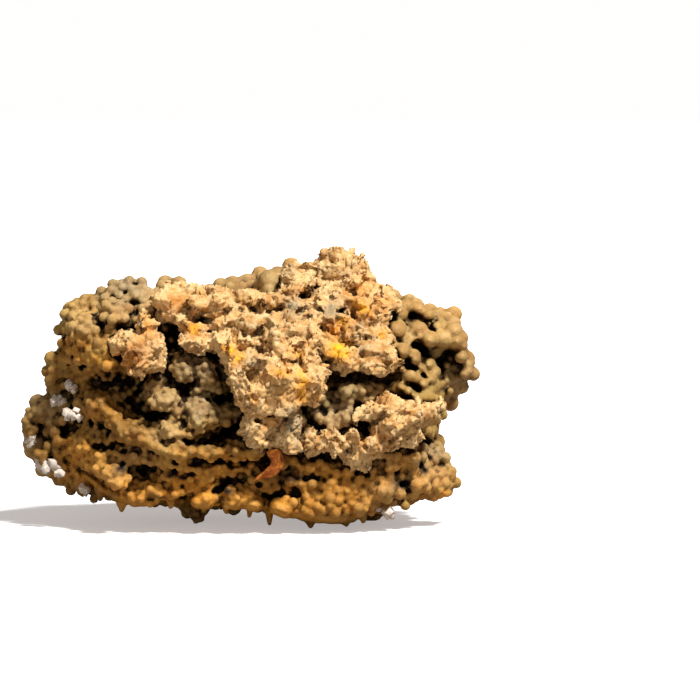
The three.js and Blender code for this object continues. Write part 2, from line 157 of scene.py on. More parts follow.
def rowOf(points, radius, pitch=1.35, loose=1.0):
    # Knobs side by side along a line through the given [x, z] points.
    line = np.array(points, dtype=float)
    steps = np.r_[0, np.cumsum(np.linalg.norm(np.diff(line, axis=0), axis=1))]
    count = max(2, int(steps[-1] / (radius * pitch)) + 1)
    places = np.linspace(0, steps[-1], count) + loose * chance.normal(0, 0.22, count) * radius
    x = np.interp(places, steps, line[:, 0])
    z = np.interp(places, steps, line[:, 1]) + loose * chance.normal(0, 0.28, count) * radius
    sizes = radius * (1 + loose * chance.uniform(-0.38, 0.3, count))
    return list(zip(x, z, sizes))


def shapeOf(piece):
    # The points and faces of a modelled shape, for copies of it.
    points = np.array([v.co[:] for v in piece.data.vertices])
    faces = np.array([f.vertices[:] for f in piece.data.polygons])
    bpy.data.objects.remove(piece)
    return points, faces


def ballShape(cuts):
    bpy.ops.object.select_all(action="DESELECT")
    bpy.ops.mesh.primitive_ico_sphere_add(subdivisions=cuts, radius=1)
    return shapeOf(bpy.context.object)


def pebbleShape():
    # A rounded pebble of 24 faces for the small knobs.
    bpy.ops.object.select_all(action="DESELECT")
    bpy.ops.mesh.primitive_cube_add(size=2)
    bpy.ops.object.mode_set(mode="EDIT")
    bpy.ops.mesh.subdivide(number_cuts=1)
    bpy.ops.transform.tosphere(value=1)
    bpy.ops.object.mode_set(mode="OBJECT")
    points, faces = shapeOf(bpy.context.object)
    return points / np.linalg.norm(points, axis=1)[:, None] * 1.06, faces


def pileUp(name, shape, centres, halfSizes, turns=None):
    # Copies of one modelled shape at every centre, stretched and turned, in one mesh.
    points, faces = shape
    centres = np.asarray(centres, dtype=float)
    count = len(centres)
    halfSizes = np.broadcast_to(np.asarray(halfSizes, dtype=float).reshape(count, -1), (count, 3))
    spots = points[None] * halfSizes[:, None]
    if turns is not None:
        spots = np.einsum("nij,nkj->nki", turns, spots)
    spots = (spots + centres[:, None]).reshape(-1, 3) * mm
    corners = (faces[None] + len(points) * np.arange(count)[:, None, None]).reshape(-1)
    around = faces.shape[1]
    mesh = bpy.data.meshes.new(name)
    mesh.vertices.add(len(spots))
    mesh.vertices.foreach_set("co", spots.ravel())
    mesh.loops.add(len(corners))
    mesh.loops.foreach_set("vertex_index", corners)
    mesh.polygons.add(len(corners) // around)
    mesh.polygons.foreach_set("loop_start", np.arange(0, len(corners), around))
    mesh.update(calc_edges=True)
    piece = bpy.data.objects.new(name, mesh)
    bpy.context.collection.objects.link(piece)
    return piece


def randomTurns(count, most=math.pi):
    # Random turns, leaning at most so far from the upright.
    turns = []
    for x, y, z in chance.uniform(-1, 1, (count, 3)) * (most, most, math.pi):
        lean = Matrix.Rotation(x, 3, "X") @ Matrix.Rotation(y, 3, "Y")
        turns.append(np.array(lean @ Matrix.Rotation(z, 3, "Z")))
    return np.array(turns)


def scatteredOn(piece, count):
    # Random places on a surface, as many to each square millimetre everywhere.
    points, faces = pointsOf(piece), facesOf(piece)
    corners = points[faces]
    across = np.cross(corners[:, 1] - corners[:, 0], corners[:, 2] - corners[:, 0])
    areas = 0.5 * np.linalg.norm(across, axis=1)
    picks = chance.choice(len(faces), count, p=areas / areas.sum())
    u, v = chance.random((2, count))
    flip = u + v > 1
    u[flip], v[flip] = 1 - u[flip], 1 - v[flip]
    spots = corners[picks, 0] + u[:, None] * (corners[picks, 1] - corners[picks, 0])
    spots += v[:, None] * (corners[picks, 2] - corners[picks, 0])
    return spots, across[picks] / (2 * areas[picks, None] + 1e-12)


def crowded(spots, sizes, touching):
    # Of many places the ones that fit: the biggest first, the small ones in the gaps left between them.
    order = np.argsort(-sizes)
    cell = 2 * touching * float(sizes.max())
    cells = np.floor(spots / cell).astype(int)
    around = [(dx, dy, dz) for dx in (-1, 0, 1) for dy in (-1, 0, 1) for dz in (-1, 0, 1)]
    taken, kept = {}, []
    for i in order:
        cx, cy, cz = cells[i]
        near = [j for dx, dy, dz in around for j in taken.get((cx + dx, cy + dy, cz + dz), ())]
        if near:
            gap = touching * (sizes[near] + sizes[i])
            if (((spots[near] - spots[i]) ** 2).sum(axis=1) < gap ** 2).any():
                continue
        taken.setdefault((cx, cy, cz), []).append(i)
        kept.append(i)
    return np.array(kept)


# The crust: what grew as one knobbly mass

crustSettings = {
    "core voxel": 0.8,
    "core shrink": 1.8,
    "base voxel": 0.42,
    "skin voxel": 0.205,
    "back voxel": 0.36,
    "knob size": 0.48,  # half size of the small knobs where no zone below says otherwise
    "back knob size": 0.95,
    "lift": 0.16,  # how far a small knob's middle stands out, as a share of its half size
    "crowding": 0.74,  # how near the small knobs stand, as a share of their two half sizes
    "candidates": 100000,  # places tried for small knobs
    "lump candidates": 5000,
    "front lumps": (0.8, 1.5),  # smallest and largest half size
    "other lumps": (1.2, 2.3),
    "lump crowding": 0.7,
    "hollow growth": 1.25,  # the hollows below are cut this much deeper and higher
    "front depth": 1.0,  # the fine front mesh reaches back to here
}

# Spans of x and z on the front where the crust differs.
crustZones = {
    "left shoulder": ((-40, -15), (24.5, 40)),
    "centre": ((-15, -1), (15, 27)),
    "belly": ((3, 26), (2, 13)),
    "right lobes": ((19.5, 40), (19, 40)),
    "lumpy lobes": ((20.0, 40), (19.4, 40)),
    "smooth lobes": ((20.5, 40), (19.4, 40)),
    "lower right": ((24, 40), (2, 17)),
    "left edge": ((-40, -27.5), (8, 26)),
    "olive patch": ((8, 21), (15, 23)),
    "dome": ((0.2, 5.6), (35.6, 41)),
    "whole front": ((-40, 40), (1.6, 41)),
}
knobSizeChanges = {
    "left shoulder": 0.12, "centre": -0.08, "belly": 0.14,
    "right lobes": 0.24, "lower right": 0.14, "left edge": 0.2,
}
liftChanges = {"right lobes": -0.42, "lower right": -0.2, "left edge": -0.12, "olive patch": -0.12}

# Knobs seen on the front: x, z and half size.
shoulderKnobs = [
    (-18.0, 36.1, 1.1), (-16.2, 35.8, 1.0), (-19.4, 35.5, 1.1), (-14.5, 35.2, 0.9), (-20.9, 34.9, 0.9),
    (-17.2, 34.8, 1.0), (-22.5, 34.5, 0.9), (-19.9, 32.6, 1.5), (-18.3, 32.9, 1.5), (-19.0, 31.9, 1.2),
    (-16.2, 33.7, 1.0), (-14.9, 34.3, 0.9), (-13.8, 33.9, 1.0), (-13.4, 34.9, 0.9), (-15.3, 32.4, 0.9),
    (-14.1, 32.2, 0.7), (-15.6, 31.3, 0.7), (-24.5, 33.3, 1.2), (-26.3, 32.5, 1.1), (-22.7, 33.4, 0.9),
    (-27.1, 31.1, 0.9), (-25.6, 33.8, 0.9), (-25.0, 31.3, 1.2), (-23.5, 31.3, 0.9), (-22.8, 32.4, 0.8),
    (-27.1, 29.7, 1.0), (-26.1, 28.4, 1.2), (-24.6, 29.4, 1.1), (-23.4, 29.9, 1.0), (-27.2, 27.2, 1.0),
    (-25.3, 27.2, 1.0), (-22.7, 28.2, 0.9), (-22.1, 27.2, 0.8), (-20.9, 27.4, 0.9), (-21.8, 29.2, 0.6),
    (-20.6, 30.2, 0.8), (-20.6, 29.3, 0.8), (-19.8, 30.9, 0.7), (-20.2, 26.8, 0.9), (-23.9, 26.4, 0.9),
]
recessKnobs = [
    (-25.3, 23.8, 0.8), (-24.1, 23.6, 0.9), (-23.7, 22.7, 0.6), (-22.5, 24.3, 0.7), (-21.2, 22.8, 0.6),
    (-20.0, 23.4, 0.6), (-18.5, 23.0, 0.5), (-17.6, 20.6, 0.8), (-19.5, 21.3, 0.6), (-21.0, 20.5, 0.6),
    (-24.5, 21.2, 0.9), (-25.3, 21.9, 0.7), (-20.8, 24.5, 0.6), (-18.0, 24.5, 0.6), (-16.5, 22.9, 0.6),
    (-16.7, 21.3, 0.6), (-15.7, 20.2, 0.6), (-16.8, 17.2, 0.6), (-15.1, 18.2, 0.8), (-12.6, 18.4, 0.7),
    (-18.8, 19.6, 0.5), (-22.4, 15.7, 0.6), (-21.0, 15.1, 0.6), (-19.8, 14.9, 0.5), (-24.1, 15.6, 0.7),
]
centreKnobs = [
    (-13.6, 20.2, 1.3), (-12.6, 19.7, 0.7), (-11.4, 20.3, 1.3), (-10.4, 21.0, 0.8), (-12.2, 22.3, 0.9),
    (-14.2, 22.5, 0.8), (-14.1, 21.3, 0.7), (-10.9, 22.7, 0.7), (-10.1, 18.3, 0.9), (-10.2, 17.2, 0.8),
    (-8.0, 20.2, 0.6), (-7.2, 21.4, 0.8), (-8.0, 21.9, 0.6), (-6.4, 20.3, 0.6), (-5.4, 20.3, 0.5),
    (-6.5, 21.9, 0.6), (-7.6, 18.5, 1.5), (-5.9, 18.6, 1.3), (-6.9, 17.2, 1.6), (-5.1, 17.6, 1.1),
    (-10.2, 26.2, 0.9), (-9.9, 24.9, 1.0), (-9.2, 23.9, 1.0), (-8.2, 25.3, 0.8), (-7.0, 24.6, 1.0),
    (-5.9, 25.5, 0.6), (-5.2, 23.0, 0.9), (-6.6, 23.6, 0.7), (-3.9, 25.8, 0.8), (-4.3, 24.6, 0.7),
    (-3.6, 23.0, 0.8), (-2.7, 22.0, 0.8), (-12.2, 25.9, 0.7), (-12.6, 24.7, 0.8), (-11.5, 24.3, 0.6),
    (-13.6, 24.9, 0.8), (-4.0, 21.4, 0.7), (-12.3, 30.5, 0.9), (-11.2, 28.7, 0.6),
]
lowerLeftKnobs = [
    (-22.2, 19.0, 1.2), (-23.0, 18.4, 0.9), (-22.6, 17.7, 0.8), (-24.5, 18.8, 1.0), (-25.1, 17.0, 0.7),
    (-23.8, 12.4, 0.9), (-22.0, 11.5, 0.8), (-20.9, 11.0, 0.7), (-19.3, 11.9, 0.8), (-17.2, 11.5, 1.1),
    (-16.2, 10.7, 0.8), (-15.1, 11.1, 0.8), (-14.3, 12.2, 0.7), (-24.9, 14.4, 0.9), (-25.5, 13.1, 0.8),
    (-23.6, 14.2, 0.7), (-21.9, 13.7, 0.8), (-20.1, 13.9, 0.6), (-18.0, 12.9, 0.6), (-26.3, 12.0, 0.9),
    (-27.5, 12.9, 0.7), (-28.7, 11.8, 0.7), (-19.9, 8.8, 1.3), (-18.9, 8.3, 1.1), (-20.3, 7.6, 1.0),
    (-21.7, 9.0, 1.0), (-22.8, 9.9, 0.8), (-24.2, 10.7, 0.8), (-16.6, 15.2, 1.1), (-15.7, 15.9, 0.7),
    (-15.6, 14.3, 0.9), (-14.4, 14.0, 0.9), (-13.3, 13.6, 0.7), (-12.7, 15.5, 0.7), (-11.4, 15.8, 1.1),
    (-10.4, 15.2, 0.8), (-11.9, 14.8, 0.6), (-10.0, 14.2, 0.8), (-14.9, 12.9, 0.6), (-16.4, 12.9, 0.6),
]
leftLobeKnobs = [
    (-33.0, 16.6, 0.9), (-32.0, 17.4, 0.9), (-31.0, 18.0, 0.9), (-33.2, 15.1, 0.8), (-32.8, 13.9, 0.8),
    (-31.8, 15.4, 1.1), (-30.5, 17.0, 1.1), (-30.9, 14.5, 1.1), (-29.6, 18.1, 1.0), (-29.3, 16.3, 1.2),
    (-28.8, 14.5, 1.1), (-30.7, 12.6, 0.9), (-31.6, 11.0, 0.9), (-30.6, 9.9, 0.9), (-29.8, 11.2, 0.8),
    (-28.9, 24.3, 1.0), (-29.0, 22.8, 1.1), (-28.8, 21.3, 1.1), (-28.2, 19.8, 1.2), (-27.5, 18.0, 1.2),
    (-27.0, 16.4, 1.1), (-27.6, 25.2, 0.9), (-27.4, 23.6, 1.0), (-27.3, 21.8, 1.0),
]
rightKnobs = [
    (24.0, 33.2, 1.2), (25.6, 32.7, 1.2), (27.0, 31.8, 1.1), (22.8, 33.3, 0.9), (26.3, 31.4, 0.9),
    (29.2, 29.8, 1.5), (30.9, 29.5, 1.5), (32.0, 28.4, 1.2), (28.4, 30.1, 0.9), (32.2, 27.3, 0.9),
    (30.5, 25.4, 1.1), (32.0, 25.6, 1.1), (33.0, 24.3, 1.0), (31.2, 23.9, 1.2), (32.5, 22.9, 1.0),
    (31.0, 22.3, 0.9), (29.8, 21.9, 0.9), (33.1, 23.3, 0.9), (29.8, 24.3, 0.9), (30.3, 20.4, 0.7),
    (25.7, 15.2, 1.2), (27.0, 15.2, 1.2), (26.4, 14.0, 1.1), (25.3, 13.8, 0.8), (27.3, 13.9, 0.8),
    (25.5, 11.3, 1.1), (27.4, 11.7, 1.2), (28.8, 10.7, 1.0), (28.0, 9.5, 1.1), (26.6, 9.4, 0.9),
    (29.6, 7.7, 1.1), (28.3, 7.4, 1.1), (30.0, 6.3, 0.9), (26.5, 7.7, 1.0), (29.9, 9.2, 0.8),
    (28.9, 5.1, 0.9), (24.9, 9.8, 0.8), (23.2, 32.0, 0.9),
]
innerRightKnobs = [
    (12.2, 11.9, 1.2), (7.0, 12.4, 0.8), (8.6, 12.0, 0.8), (10.3, 12.2, 0.8), (14.3, 12.4, 0.9),
    (14.4, 6.8, 1.15), (16.2, 7.1, 1.0), (17.6, 7.8, 0.9), (12.0, 5.7, 1.2), (13.5, 5.0, 0.9),
    (10.6, 5.4, 0.9), (10.5, 4.1, 0.9), (12.3, 4.3, 1.0), (14.7, 3.3, 0.8), (16.6, 3.3, 1.15),
    (17.8, 2.9, 0.8), (19.0, 11.5, 1.0), (20.8, 11.3, 1.1), (22.6, 11.1, 1.1), (24.0, 10.4, 1.0),
    (21.0, 9.6, 0.9), (18.6, 9.4, 0.9), (17.0, 10.6, 0.8), (15.8, 11.8, 0.8), (19.6, 12.9, 0.8),
    (16.0, 5.4, 0.8), (8.8, 5.6, 0.8), (17.6, 5.2, 0.7),
]
oliveKnobs = [
    (9.2, 18.8, 0.9), (10.5, 17.6, 0.9), (12.0, 17.0, 0.9), (9.0, 16.6, 0.9), (10.8, 15.8, 0.9),
    (13.5, 16.4, 0.9), (14.8, 17.6, 1.0), (16.0, 18.1, 0.9), (12.5, 19.0, 1.0), (14.4, 19.2, 0.9),
    (15.9, 19.6, 0.9), (11.0, 20.3, 0.9), (12.6, 21.4, 1.0), (14.8, 21.4, 1.0), (17.0, 21.3, 1.0),
    (19.0, 21.6, 0.9), (18.4, 20.2, 0.8), (20.5, 21.2, 0.8), (13.0, 17.9, 0.8), (10.0, 21.5, 0.7),
    (3.4, 37.1, 2.0), (4.4, 38.0, 1.4), (2.0, 36.4, 1.3), (3.2, 35.9, 1.2),
]

# Rows of knobs along the rims of the ledges: [x, z] points, half size and how far the rim stands out.
ledgeRows = [
    ([(-27.2, 26.1), (-25.0, 25.6), (-22.6, 26.0), (-20.5, 25.8), (-18.8, 25.5), (-17.0, 24.8)], 0.9, 1.3),
    ([(-21.2, 18.5), (-19.7, 17.2), (-18.2, 15.8), (-17.3, 15.1)], 0.75, 1.6),
    ([(-13.2, 12.9), (-10.0, 12.3), (-8.0, 12.6), (-6.0, 12.3), (-4.0, 12.4), (-2.0, 12.5),
       (1.4, 12.2)], 0.95, 1.9),
    ([(-9.4, 15.2), (-7.4, 15.0), (-5.0, 15.9), (-3.0, 16.8), (-1.2, 17.8), (0.2, 18.6)], 0.8, 2.1),
    ([(-13.0, 10.6), (-10.0, 10.3), (-8.4, 9.9), (-6.6, 10.2), (-5.0, 9.8), (-2.6, 9.3),
       (0.2, 9.2)], 0.75, 0.9),
    ([(-17.2, 8.3), (-15.4, 8.0), (-13.4, 7.8), (-11.6, 8.1), (-8.6, 7.9), (-6.6, 8.2),
       (-4.9, 8.8)], 0.8, 1.2),
    ([(5.6, 10.3), (7.8, 10.6), (9.6, 10.2), (11.2, 10.6), (12.8, 10.4), (14.6, 10.7)], 0.7, 0.9),
    ([(8.6, 9.0), (10.8, 9.2), (12.6, 9.0), (15.6, 9.2)], 0.65, 0.8),
    ([(6.0, 8.0), (8.0, 7.3), (10.0, 7.4), (11.8, 7.2), (13.2, 7.5)], 0.75, 1.1),
    ([(20.8, 32.4), (22.8, 30.9), (25.0, 29.3), (27.0, 28.1), (29.4, 27.6), (31.2, 27.8)], 1.55, 1.6),
    ([(19.4, 28.4), (22.0, 27.3), (24.6, 26.4), (26.8, 24.8), (28.0, 23.2)], 1.3, 1.2),
    ([(27.2, 22.6), (28.6, 21.2), (28.4, 20.0)], 1.1, 0.8),
    ([(21.6, 24.0), (23.5, 24.0), (25.5, 22.6), (27.0, 20.8), (27.9, 19.8)], 0.9, 1.1),
    ([(22.8, 21.9), (24.5, 21.0), (26.0, 19.6)], 0.8, 1.1),
    ([(18.6, 6.6), (20.6, 6.7), (22.6, 6.0), (24.8, 6.6)], 1.0, 1.0),
]

# The smooth waxy bands along the bottom: [x, z] points, half size and how far they stand out.
waxyBands = [
    ([(-29.4, 10.4), (-26.4, 9.3), (-24.2, 8.0), (-22.2, 6.8), (-20.4, 5.8)], 0.8, 0.9),
    ([(-27.8, 8.4), (-24.8, 7.0), (-22.6, 5.9)], 0.8, 0.5),
    ([(-20.6, 6.2), (-18.4, 5.2), (-15.0, 4.9), (-11.6, 4.8), (-8.4, 4.9), (-5.0, 4.8)], 1.3, 0.9),
    ([(-17.6, 6.9), (-14.0, 6.5), (-10.4, 6.4), (-7.0, 6.5), (-4.6, 7.4)], 0.8, 0.7),
    ([(-5.0, 4.6), (-2.0, 4.9), (1.6, 4.6), (5.0, 3.9), (8.4, 3.2), (11.6, 2.6), (15.2, 2.4),
       (18.6, 3.2)], 1.6, 0.6),
    ([(18.4, 4.0), (20.6, 4.6), (23.0, 5.0), (25.4, 5.6), (27.6, 5.7)], 1.1, 0.7),
    ([(-2.6, 6.2), (0.4, 6.1), (3.2, 6.4), (5.6, 7.2)], 0.7, 0.9),
    ([(0.8, 7.8), (2.8, 7.9), (4.4, 8.0)], 0.5, 1.5),
]

# Dark hollows between the ledges: x, z, half width, half height, depth and tilt in degrees.
hollows = [
    (-4.6, 14.6, 5.2, 1.25, 6.5, 9), (-1.2, 15.8, 2.0, 1.5, 6.0, 20), (-7.6, 13.9, 2.4, 0.6, 4.0, 4),
    (-10.8, 29.3, 2.4, 2.3, 5.0, 0), (-20.0, 22.2, 4.6, 1.2, 2.8, 4), (-16.4, 21.9, 1.8, 1.4, 2.8, 0),
    (-21.0, 15.6, 3.8, 0.9, 3.4, -14), (-14.2, 17.2, 3.0, 0.9, 3.6, 4), (-16.6, 18.6, 2.6, 1.0, 3.0, -20),
    (-6.6, 11.1, 4.6, 0.45, 3.0, 0), (-0.4, 10.9, 3.0, 0.5, 3.0, 0), (-2.9, 7.0, 1.1, 0.6, 1.8, 0),
    (-9.4, 9.1, 2.4, 0.35, 2.0, 4), (-14.6, 9.1, 2.6, 0.4, 2.2, 12), (-18.4, 9.8, 0.9, 0.5, 1.6, -14),
    (-12.6, 5.7, 1.5, 0.3, 1.0, 6), (-13.5, 5.0, 0.6, 0.3, 1.0, 0), (-7.6, 5.8, 1.4, 0.35, 1.2, 4),
    (9.0, 8.3, 5.0, 0.4, 3.2, -3), (9.0, 6.5, 4.6, 0.45, 3.2, -8), (11.5, 11.4, 6.0, 0.4, 3.4, 0),
    (16.2, 8.5, 2.8, 0.5, 3.0, 8), (21.6, 9.0, 2.8, 0.5, 2.6, 6), (23.1, 7.2, 1.3, 0.6, 1.8, -6),
    (10.6, 5.0, 2.6, 0.3, 2.4, -8), (14.2, 4.2, 1.6, 0.4, 2.2, 0), (19.0, 8.4, 2.0, 0.4, 2.4, 0),
    (26.0, 10.3, 1.4, 0.3, 1.6, 10), (3.4, 10.8, 2.6, 2.4, 3.0, 30), (26.3, 26.6, 2.6, 0.6, 4.0, -36),
    (28.9, 25.0, 1.0, 1.0, 4.0, -30), (23.4, 25.2, 2.6, 0.4, 2.6, -26), (25.0, 21.6, 1.6, 0.35, 2.6, -42),
    (26.4, 23.0, 1.4, 0.3, 2.4, -48), (26.6, 30.6, 2.6, 0.35, 2.6, -32), (20.6, 31.2, 1.0, 1.0, 3.0, 0),
    (26.0, 12.6, 2.2, 0.4, 2.4, -10), (11.6, 18.2, 2.2, 0.3, 1.8, -8), (16.6, 19.0, 1.6, 0.3, 1.8, 14),
    (-28.0, 18.6, 0.7, 2.0, 2.6, 10), (-29.8, 13.4, 2.0, 0.4, 2.0, -14), (-24.6, 25.0, 3.0, 0.4, 2.0, 0),
    (-18.6, 31.0, 2.4, 0.45, 2.4, 0), (-21.8, 30.6, 0.8, 1.2, 2.4, 0), (-17.2, 30.3, 1.6, 0.5, 2.4, 10),
    (-8.6, 22.9, 1.6, 0.4, 2.2, 0), (-8.9, 20.9, 0.5, 1.2, 2.4, 0), (-3.4, 20.0, 3.0, 0.8, 3.6, 10),
    (-24.6, 16.2, 2.2, 0.5, 2.6, 0), (-21.4, 12.6, 2.6, 0.4, 2.0, -6), (-15.6, 13.0, 2.4, 0.35, 2.0, -12),
    (-6.6, 27.0, 3.0, 0.6, 3.0, 0), (-27.6, 14.8, 1.0, 1.2, 2.4, 0), (4.6, 12.6, 3.6, 0.5, 3.4, 0),
]

# Drips under the mass: x, y, tip height, half width at the top and length.
drips = [
    (-8.2, 1.5, 0.1, 1.9, 4.4), (-18.7, -9.2, 2.9, 0.75, 2.0), (-3.1, -9.2, 2.6, 0.6, 2.2),
    (0.3, -8.8, 2.1, 0.45, 2.8), (3.3, -8.2, 0.9, 0.62, 3.0), (-23.0, -3.0, 3.8, 1.0, 2.6),
    (-26.6, 0.0, 4.8, 1.0, 2.4), (-20.6, -4.4, 4.1, 0.9, 2.4), (-28.4, 2.0, 5.6, 0.8, 2.0),
    (-14.0, 6.0, 2.6, 1.0, 3.4), (-3.0, 10.0, 2.4, 0.9, 3.6), (3.4, 3.0, 1.8, 0.9, 3.6),
    (28.8, -3.6, 4.3, 0.7, 1.6), (-25.0, -4.6, 4.7, 0.7, 2.0), (-16.2, -8.8, 3.8, 0.4, 1.4),
    (-11.4, -9.4, 3.4, 0.4, 1.4), (23.6, -7.0, 3.4, 0.5, 1.6), (20.0, -4.0, 2.0, 0.6, 2.2),
    (9.4, -9.6, 0.5, 0.6, 1.4), (14.6, -9.0, 0.7, 0.55, 1.4), (17.2, -8.0, 1.1, 0.5, 1.4),
    (-6.4, -9.4, 2.9, 0.45, 1.6), (-22.0, -7.0, 4.3, 0.6, 1.6), (-10.6, -4.0, 3.0, 0.7, 2.2),
]


def inBox(points, x, z, soft=1.0):
    # 1 inside the given [from, to] spans of x and z on the front half, fading to 0 over the soft edge.
    inside = np.ones(len(points))
    for value, (low, high) in ((points[:, 0], x), (points[:, 2], z)):
        inside *= np.clip((value - low) / soft + 0.5, 0, 1) * np.clip((high - value) / soft + 0.5, 0, 1)
    return inside * np.clip((4.0 - points[:, 1]) / 4.0, 0, 1)


def inZone(points, zone):
    return inBox(points, *crustZones[zone])


def changed(values, points, changes):
    for zone, change in changes.items():
        values += change * inZone(points, zone)
    return values


def smoothnessAt(points):
    # Where the crust is bare waxy skin, with no small knobs on it.
    x, y, z = points.T
    bottom = 5.9 + 0.9 * np.sin(0.5 * x) + np.where(x < -16, 0.5 * (-16 - x), 0)
    bottom -= np.clip(0.22 * (x - 3), 0, 2.6)
    band = np.clip((bottom - z) / 0.8, 0, 1) * np.clip((-2.0 - y) / 3.0, 0, 1)
    under = np.clip((4.0 - z) / 1.5, 0, 1) * 0.6
    raised = np.maximum(inZone(points, "dome"), inZone(points, "smooth lobes"))
    return np.clip(np.maximum(np.maximum(band, under), raised), 0, 1)


def knobSizeAt(points):
    size = changed(np.full(len(points), crustSettings["knob size"]), points, knobSizeChanges)
    back = np.clip((points[:, 1] + 1.0) / 6.0, 0, 1)
    return size * (1 - back) + crustSettings["back knob size"] * back


def liftAt(points):
    # How far the middle of a small knob stands out of the crust, as a share of its half size.
    return changed(np.full(len(points), crustSettings["lift"]), points, liftChanges)


def frontOf(tree, x, z):
    # The front of a surface at [x, z], or the nearest place on it where it doesn't reach that far.
    hit = tree.ray_cast(Vector((x, -80, z)), Vector((0, 1, 0)))
    if hit[0]:
        return hit[0].y
    near = tree.find_nearest(Vector((x, -2, z)))
    return near[0].y


def growCrust():
    ball, pebble = ballShape(2), pebbleShape()
    core = mergedCopy("mottramite", "crust_core")
    fuse(core, crustSettings["core voxel"], rounds=2)
    applied(core, "DISPLACE", strength=-crustSettings["core shrink"] * mm, mid_level=0.0)
    tree = treeOf(core)

    # The hollows are cut in before anything grows over the core.
    growth = crustSettings["hollow growth"]
    holes, holeSizes, holeTurns = [], [], []
    for x, z, across, up, deep, tilt in hollows:
        holes.append((x, frontOf(tree, x, z) - 0.8, z))
        holeSizes.append((across, deep * growth, up * growth))
        holeTurns.append(np.array(Matrix.Rotation(math.radians(-tilt), 3, "Y")))
    cutter = pileUp("crust_hollows", ball, holes, holeSizes, np.array(holeTurns))
    fuse(cutter, crustSettings["base voxel"], rounds=0)

    def inHollow(points, margin):
        inside = np.zeros(len(points), dtype=bool)
        for hole, size, turn in zip(holes, holeSizes, holeTurns):
            local = (points - hole) @ turn
            inside |= ((local / (np.array(size) + (0, 0, margin))) ** 2).sum(axis=1) < 1
        return inside

    centres, sizes, bald = [], [], []

    def addKnob(x, z, size, out, root=1.7, smooth=False):
        front = frontOf(tree, x, z)
        reach = size * root
        centres.append((x, front - out + reach, z))
        sizes.append((size, reach, size * 0.94))
        bald.append(smooth)

    shrink = crustSettings["core shrink"]
    for group in (
        shoulderKnobs, centreKnobs, lowerLeftKnobs, leftLobeKnobs, rightKnobs, innerRightKnobs, oliveKnobs,
    ):
        for x, z, size in group:
            addKnob(x, z, size, shrink - 0.1 + 0.7 * size + chance.uniform(-0.3, 0.3), smooth=size < 1.0)
    for x, z, size in recessKnobs:
        addKnob(x, z, size, shrink - 1.1 + 0.6 * size, smooth=True)
    for points, size, out in ledgeRows:
        for x, z, r in rowOf(points, size):
            addKnob(x, z, r, shrink - 0.4 + out + chance.uniform(-0.3, 0.3), root=2.6, smooth=r > 0.85)
    for points, size, out in waxyBands:
        for x, z, r in rowOf(points, size, pitch=0.35, loose=0.15):
            addKnob(x, z, r, shrink + 0.6 * out, root=2.6)
    for x, y, tip, half, length in drips:
        for share in np.linspace(0, 1, 7):
            r = half * (1 - share) ** 1.1 + 0.42
            height = tip + 0.3 + length * (1 - share)
            centres.append((x + chance.normal(0, 0.08), y + chance.normal(0, 0.08), height))
            sizes.append((r, r, max(r, length / 6)))
            bald.append(False)

    # Lumps where no list gives any: the sides, the top, the back, the underside and the gaps in front.
    spots, outward = scatteredOn(core, crustSettings["lump candidates"])
    front = inZone(spots, "whole front") > 0.2
    frontSizes = chance.uniform(*crustSettings["front lumps"], len(spots))
    r = np.where(front, frontSizes, chance.uniform(*crustSettings["other lumps"], len(spots)))
    lobes = inZone(spots, "lumpy lobes") > 0.5
    r[lobes] += 0.3
    fits = crowded(spots, r, crustSettings["lump crowding"])
    fits = fits[(spots[fits, 2] > 1.6) & ((spots[fits, 1] > -3.0) | (chance.random(len(fits)) < 0.75))]
    fits = fits[(smoothnessAt(spots[fits]) < 0.5) | (spots[fits, 1] > 0) | lobes[fits]]
    fits = fits[~inHollow(spots[fits], 0.7)]
    deep = np.where(front[fits], chance.uniform(-1.1, -0.2, len(fits)), 0.1) + 0.55 * lobes[fits]
    centres.extend(spots[fits] + outward[fits] * (deep * r[fits] + 0.4)[:, None])
    sizes.extend(np.stack([r[fits], r[fits], 0.85 * r[fits]], axis=1))
    bald.extend([False] * len(fits))
    applied(core, "BOOLEAN", operation="DIFFERENCE", object=cutter, solver="MANIFOLD")
    bpy.data.objects.remove(cutter)
    base = joined([core, pileUp("crust_lumps", ball, centres, sizes)], "crust_base")
    lumps = copyOf(base, "crust_lumps")
    fuse(lumps, crustSettings["base voxel"], rounds=0)

    # Small knobs crowd over the lumps, but for the smooth ones and the waxy skin.
    spots, outward = scatteredOn(lumps, crustSettings["candidates"])
    bare = smoothnessAt(spots)
    keep = (chance.random(len(spots)) > bare) & (spots[:, 2] > 0.8)
    centres, halves = np.array(centres)[bald], np.array(sizes, dtype=float)[bald]
    for centre, half in zip(centres, halves):
        keep &= (((spots - centre) / (half * 1.06)) ** 2).sum(axis=1) > 1
    keep &= ~inHollow(spots, 0.2) | (chance.random(len(spots)) < 0.1)
    spots, outward = spots[keep], outward[keep]
    r = knobSizeAt(spots) * (0.72 + 0.8 * chance.random(len(spots)) ** 2)
    fits = crowded(spots, r, crustSettings["crowding"])
    spots, outward, r = spots[fits], outward[fits], r[fits]
    lift = liftAt(spots) + chance.uniform(-0.15, 0.4, len(spots))
    small = pileUp("crust_knobs", pebble, spots + outward * (r * lift)[:, None], r)
    bpy.data.objects.remove(lumps)
    print("crust:", len(sizes), "lumps and", len(spots), "small knobs")
    return joined([base, small], "crust_pile")


depthSettings = {
    "grid corner": (-37.0, -27.0, -3.0),
    "grid cells": (148, 104, 96),
    "cell": 0.5,
    "distances": (0.9, 1.4, 2.0, 2.8, 3.6, 4.5),  # how far out each look for stone goes
    "ways": 26,  # looks from each point
    "golden angle": 2.399963,
}


